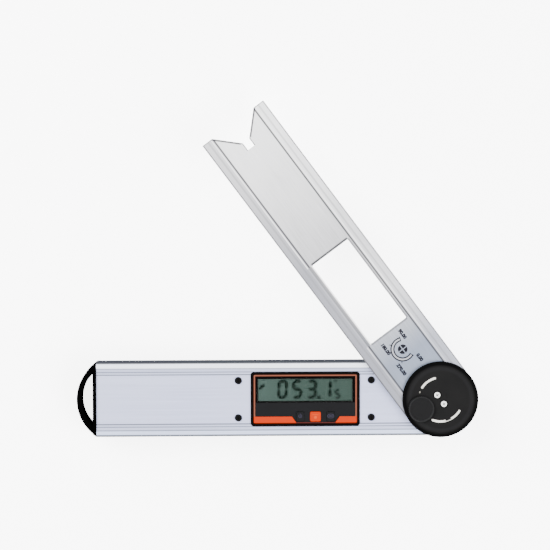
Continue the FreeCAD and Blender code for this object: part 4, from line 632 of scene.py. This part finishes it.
# The printed dial on the blade's web: a disc with a light cross, a double arc and four plain numbers.
DIAL_PLACE = 45.6
DISC_RADIUS = 3.5
DISC_INNER = 0.45
WEB_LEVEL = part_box("blade_extrusion")[1].z - 0.8 * MM + INK_THICKNESS / 2
READ_HEADING = HEADING + math.pi
dial_ink = plain_finish("dial_ink", (0.006, 0.006, 0.009), 0.0, 0.5, 900.0, 0.1, specular=0.05)
dial_grey = plain_finish("dial_grey_ink", (0.26, 0.265, 0.29), 0.0, 0.5, 900.0, 0.1, specular=0.05)
on_web = Matrix.Translation(ALONG * DIAL_PLACE * MM) @ Matrix.Rotation(READ_HEADING, 4, "Z")
quarters = []
for turn_by in (0, 90, 180, 270):
    rim = [polar(DISC_RADIUS, turn_by + a) for a in range(5, 86, 8)]
    quarters.append([polar(DISC_INNER, turn_by + 45)] + rim)
print_on("dial_disc", quarters, WEB_LEVEL, on_web, dial_ink, "blade")
double_arc = [arc_line(6.4, 0.95, 155, 385, 40), arc_line(8.5, 0.95, 155, 385, 40)]
print_on("dial_arcs", double_arc, WEB_LEVEL, on_web, dial_ink, "blade")
print_on("dial_band", [arc_line(7.35, 1.7, 157, 383, 40)], WEB_LEVEL - 0.005 * MM, on_web, dial_grey, "blade")
ticks = [stroke(*polar(r0, a), *polar(r1, a), 0.6)
         for a, r0, r1 in ((157, 5.9, 9.4), (215, 8.6, 10.2), (320, 8.6, 10.2), (383, 5.9, 9.2))]
print_on("dial_ticks", ticks, WEB_LEVEL, on_web, dial_ink, "blade")
for label, text, along, side in (("first", "90.00", -9.0, 6.4), ("second", "180.00", -7.4, -10.0),
                                 ("third", "0.00", 12.2, 6.3), ("fourth", "270.00", 11.4, -9.7)):
    spot = on_web @ Vector((along * MM, side * MM, 0))
    plain_number("dial_number_" + label, text, (spot.x, spot.y), READ_HEADING, NUMBER_SIZE, WEB_LEVEL,
                 dial_ink, "blade")

# Marks on the keys.
key_ink = plain_finish("key_mark_ink", (0.022, 0.02, 0.034), 0.0, 0.5, 900.0, 0.1, specular=0.05)
pale_orange = plain_finish("key_mark_orange", (0.40, 0.042, 0.006), 0.0, 0.4, 900.0, 0.05, specular=0.05)


def key_mark(name, node, outlines, finish):
    """Printed outlines centred on a key's face."""
    low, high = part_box(node)
    middle = Matrix.Translation(((low.x + high.x) / 2, (low.y + high.y) / 2, 0))
    print_on(name, outlines, high.z + INK_THICKNESS / 2, middle, finish, node)


power = [arc_line(1.15, 0.4, 120, 420, 24), stroke(0, 0.5, 0, 1.9, 0.4), disc(0, -0.1, 0.35)]
key_mark("left_key_mark", "button_left", power, key_ink)
oval = [[(x * 1.45, y * 0.95) for x, y in arc_line(1.6, 0.3, 0, 350, 36)],
        stroke(-1.5, 0.6, 1.5, 0.6, 0.3), stroke(-1.7, 0, 1.7, 0, 0.3), stroke(-1.5, -0.6, 1.5, -0.6, 0.3)]
key_mark("right_key_mark", "button_right", oval, key_ink)
key_mark("middle_key_mark", "button_middle", [disc(0, -0.9, 1.1), stroke(-2.2, 1.1, 2.2, 1.1, 0.35)],
         pale_orange)


# Floor, light and camera.
FLOOR_SIZE = 6.0
FLOOR_PLACE = (-0.12, 0.09, -0.0005)
FLOOR_GLOW = 5.0
LIT_PLACE = (-0.12, 0.08, 0)


def floor():
    """A plain pale sweep under the instrument."""
    bpy.ops.mesh.primitive_plane_add(size=FLOOR_SIZE, location=FLOOR_PLACE)
    made = bpy.context.active_object
    made.name = "studio_floor"
    shader = Shader("pale_floor")
    soft = shader.noise(shader.local(), 3.0, 2.0)
    tone = shader.mix(soft, (0.93, 0.93, 0.93), (0.95, 0.95, 0.95))
    made.data.materials.append(shader.finish(
        colour=tone, metal=0.0, rough=0.9, glow_colour=tone, glow=FLOOR_GLOW))


def soft_light(name, place, target, size, power):
    """A square area lamp at place that faces target."""
    lamp = bpy.data.lights.new(name, "AREA")
    lamp.shape = "SQUARE"
    lamp.size = size
    lamp.energy = power
    made = bpy.data.objects.new(name, lamp)
    made.location = place
    made.rotation_mode = "QUATERNION"
    made.rotation_quaternion = (Vector(target) - Vector(place)).to_track_quat("-Z", "Y")
    bpy.context.scene.collection.objects.link(made)


floor()
world = bpy.data.worlds.new("studio")
world.use_nodes = True
world.node_tree.nodes["Background"].inputs["Color"].default_value = (1.0, 1.0, 1.0, 1.0)
world.node_tree.nodes["Background"].inputs["Strength"].default_value = 1.3
bpy.context.scene.world = world
soft_light("key_light", (-1.1, 0.7, 1.1), LIT_PLACE, 1.2, 78.0)
soft_light("fill_light", (0.9, -0.5, 1.1), LIT_PLACE, 1.2, 58.0)

AIM = Vector((-0.11967, 0.09041, 0.022))
FIELD = 0.39855
DISTANCE = 1.5
TILT = math.radians(3.0)
PAN = math.radians(-1.581)
ROLL = math.radians(0.212)
SENSOR = 36.0
camera = bpy.data.objects.new("camera", bpy.data.cameras.new("camera"))
camera.data.sensor_width = SENSOR
camera.data.lens = SENSOR * DISTANCE / FIELD
camera.data.clip_start = 0.05
camera.data.clip_end = 20.0
back = Vector((math.sin(PAN), math.sin(TILT) * math.cos(PAN), math.cos(TILT) * math.cos(PAN)))
right = Vector((math.cos(ROLL), -math.sin(ROLL), 0))
right = (right - back * right.dot(back)).normalized()
up = back.cross(right)
turn = Matrix((right, up, back)).transposed()
camera.matrix_world = Matrix.Translation(AIM + back * DISTANCE) @ turn.to_4x4()
bpy.context.scene.collection.objects.link(camera)
bpy.context.scene.camera = camera
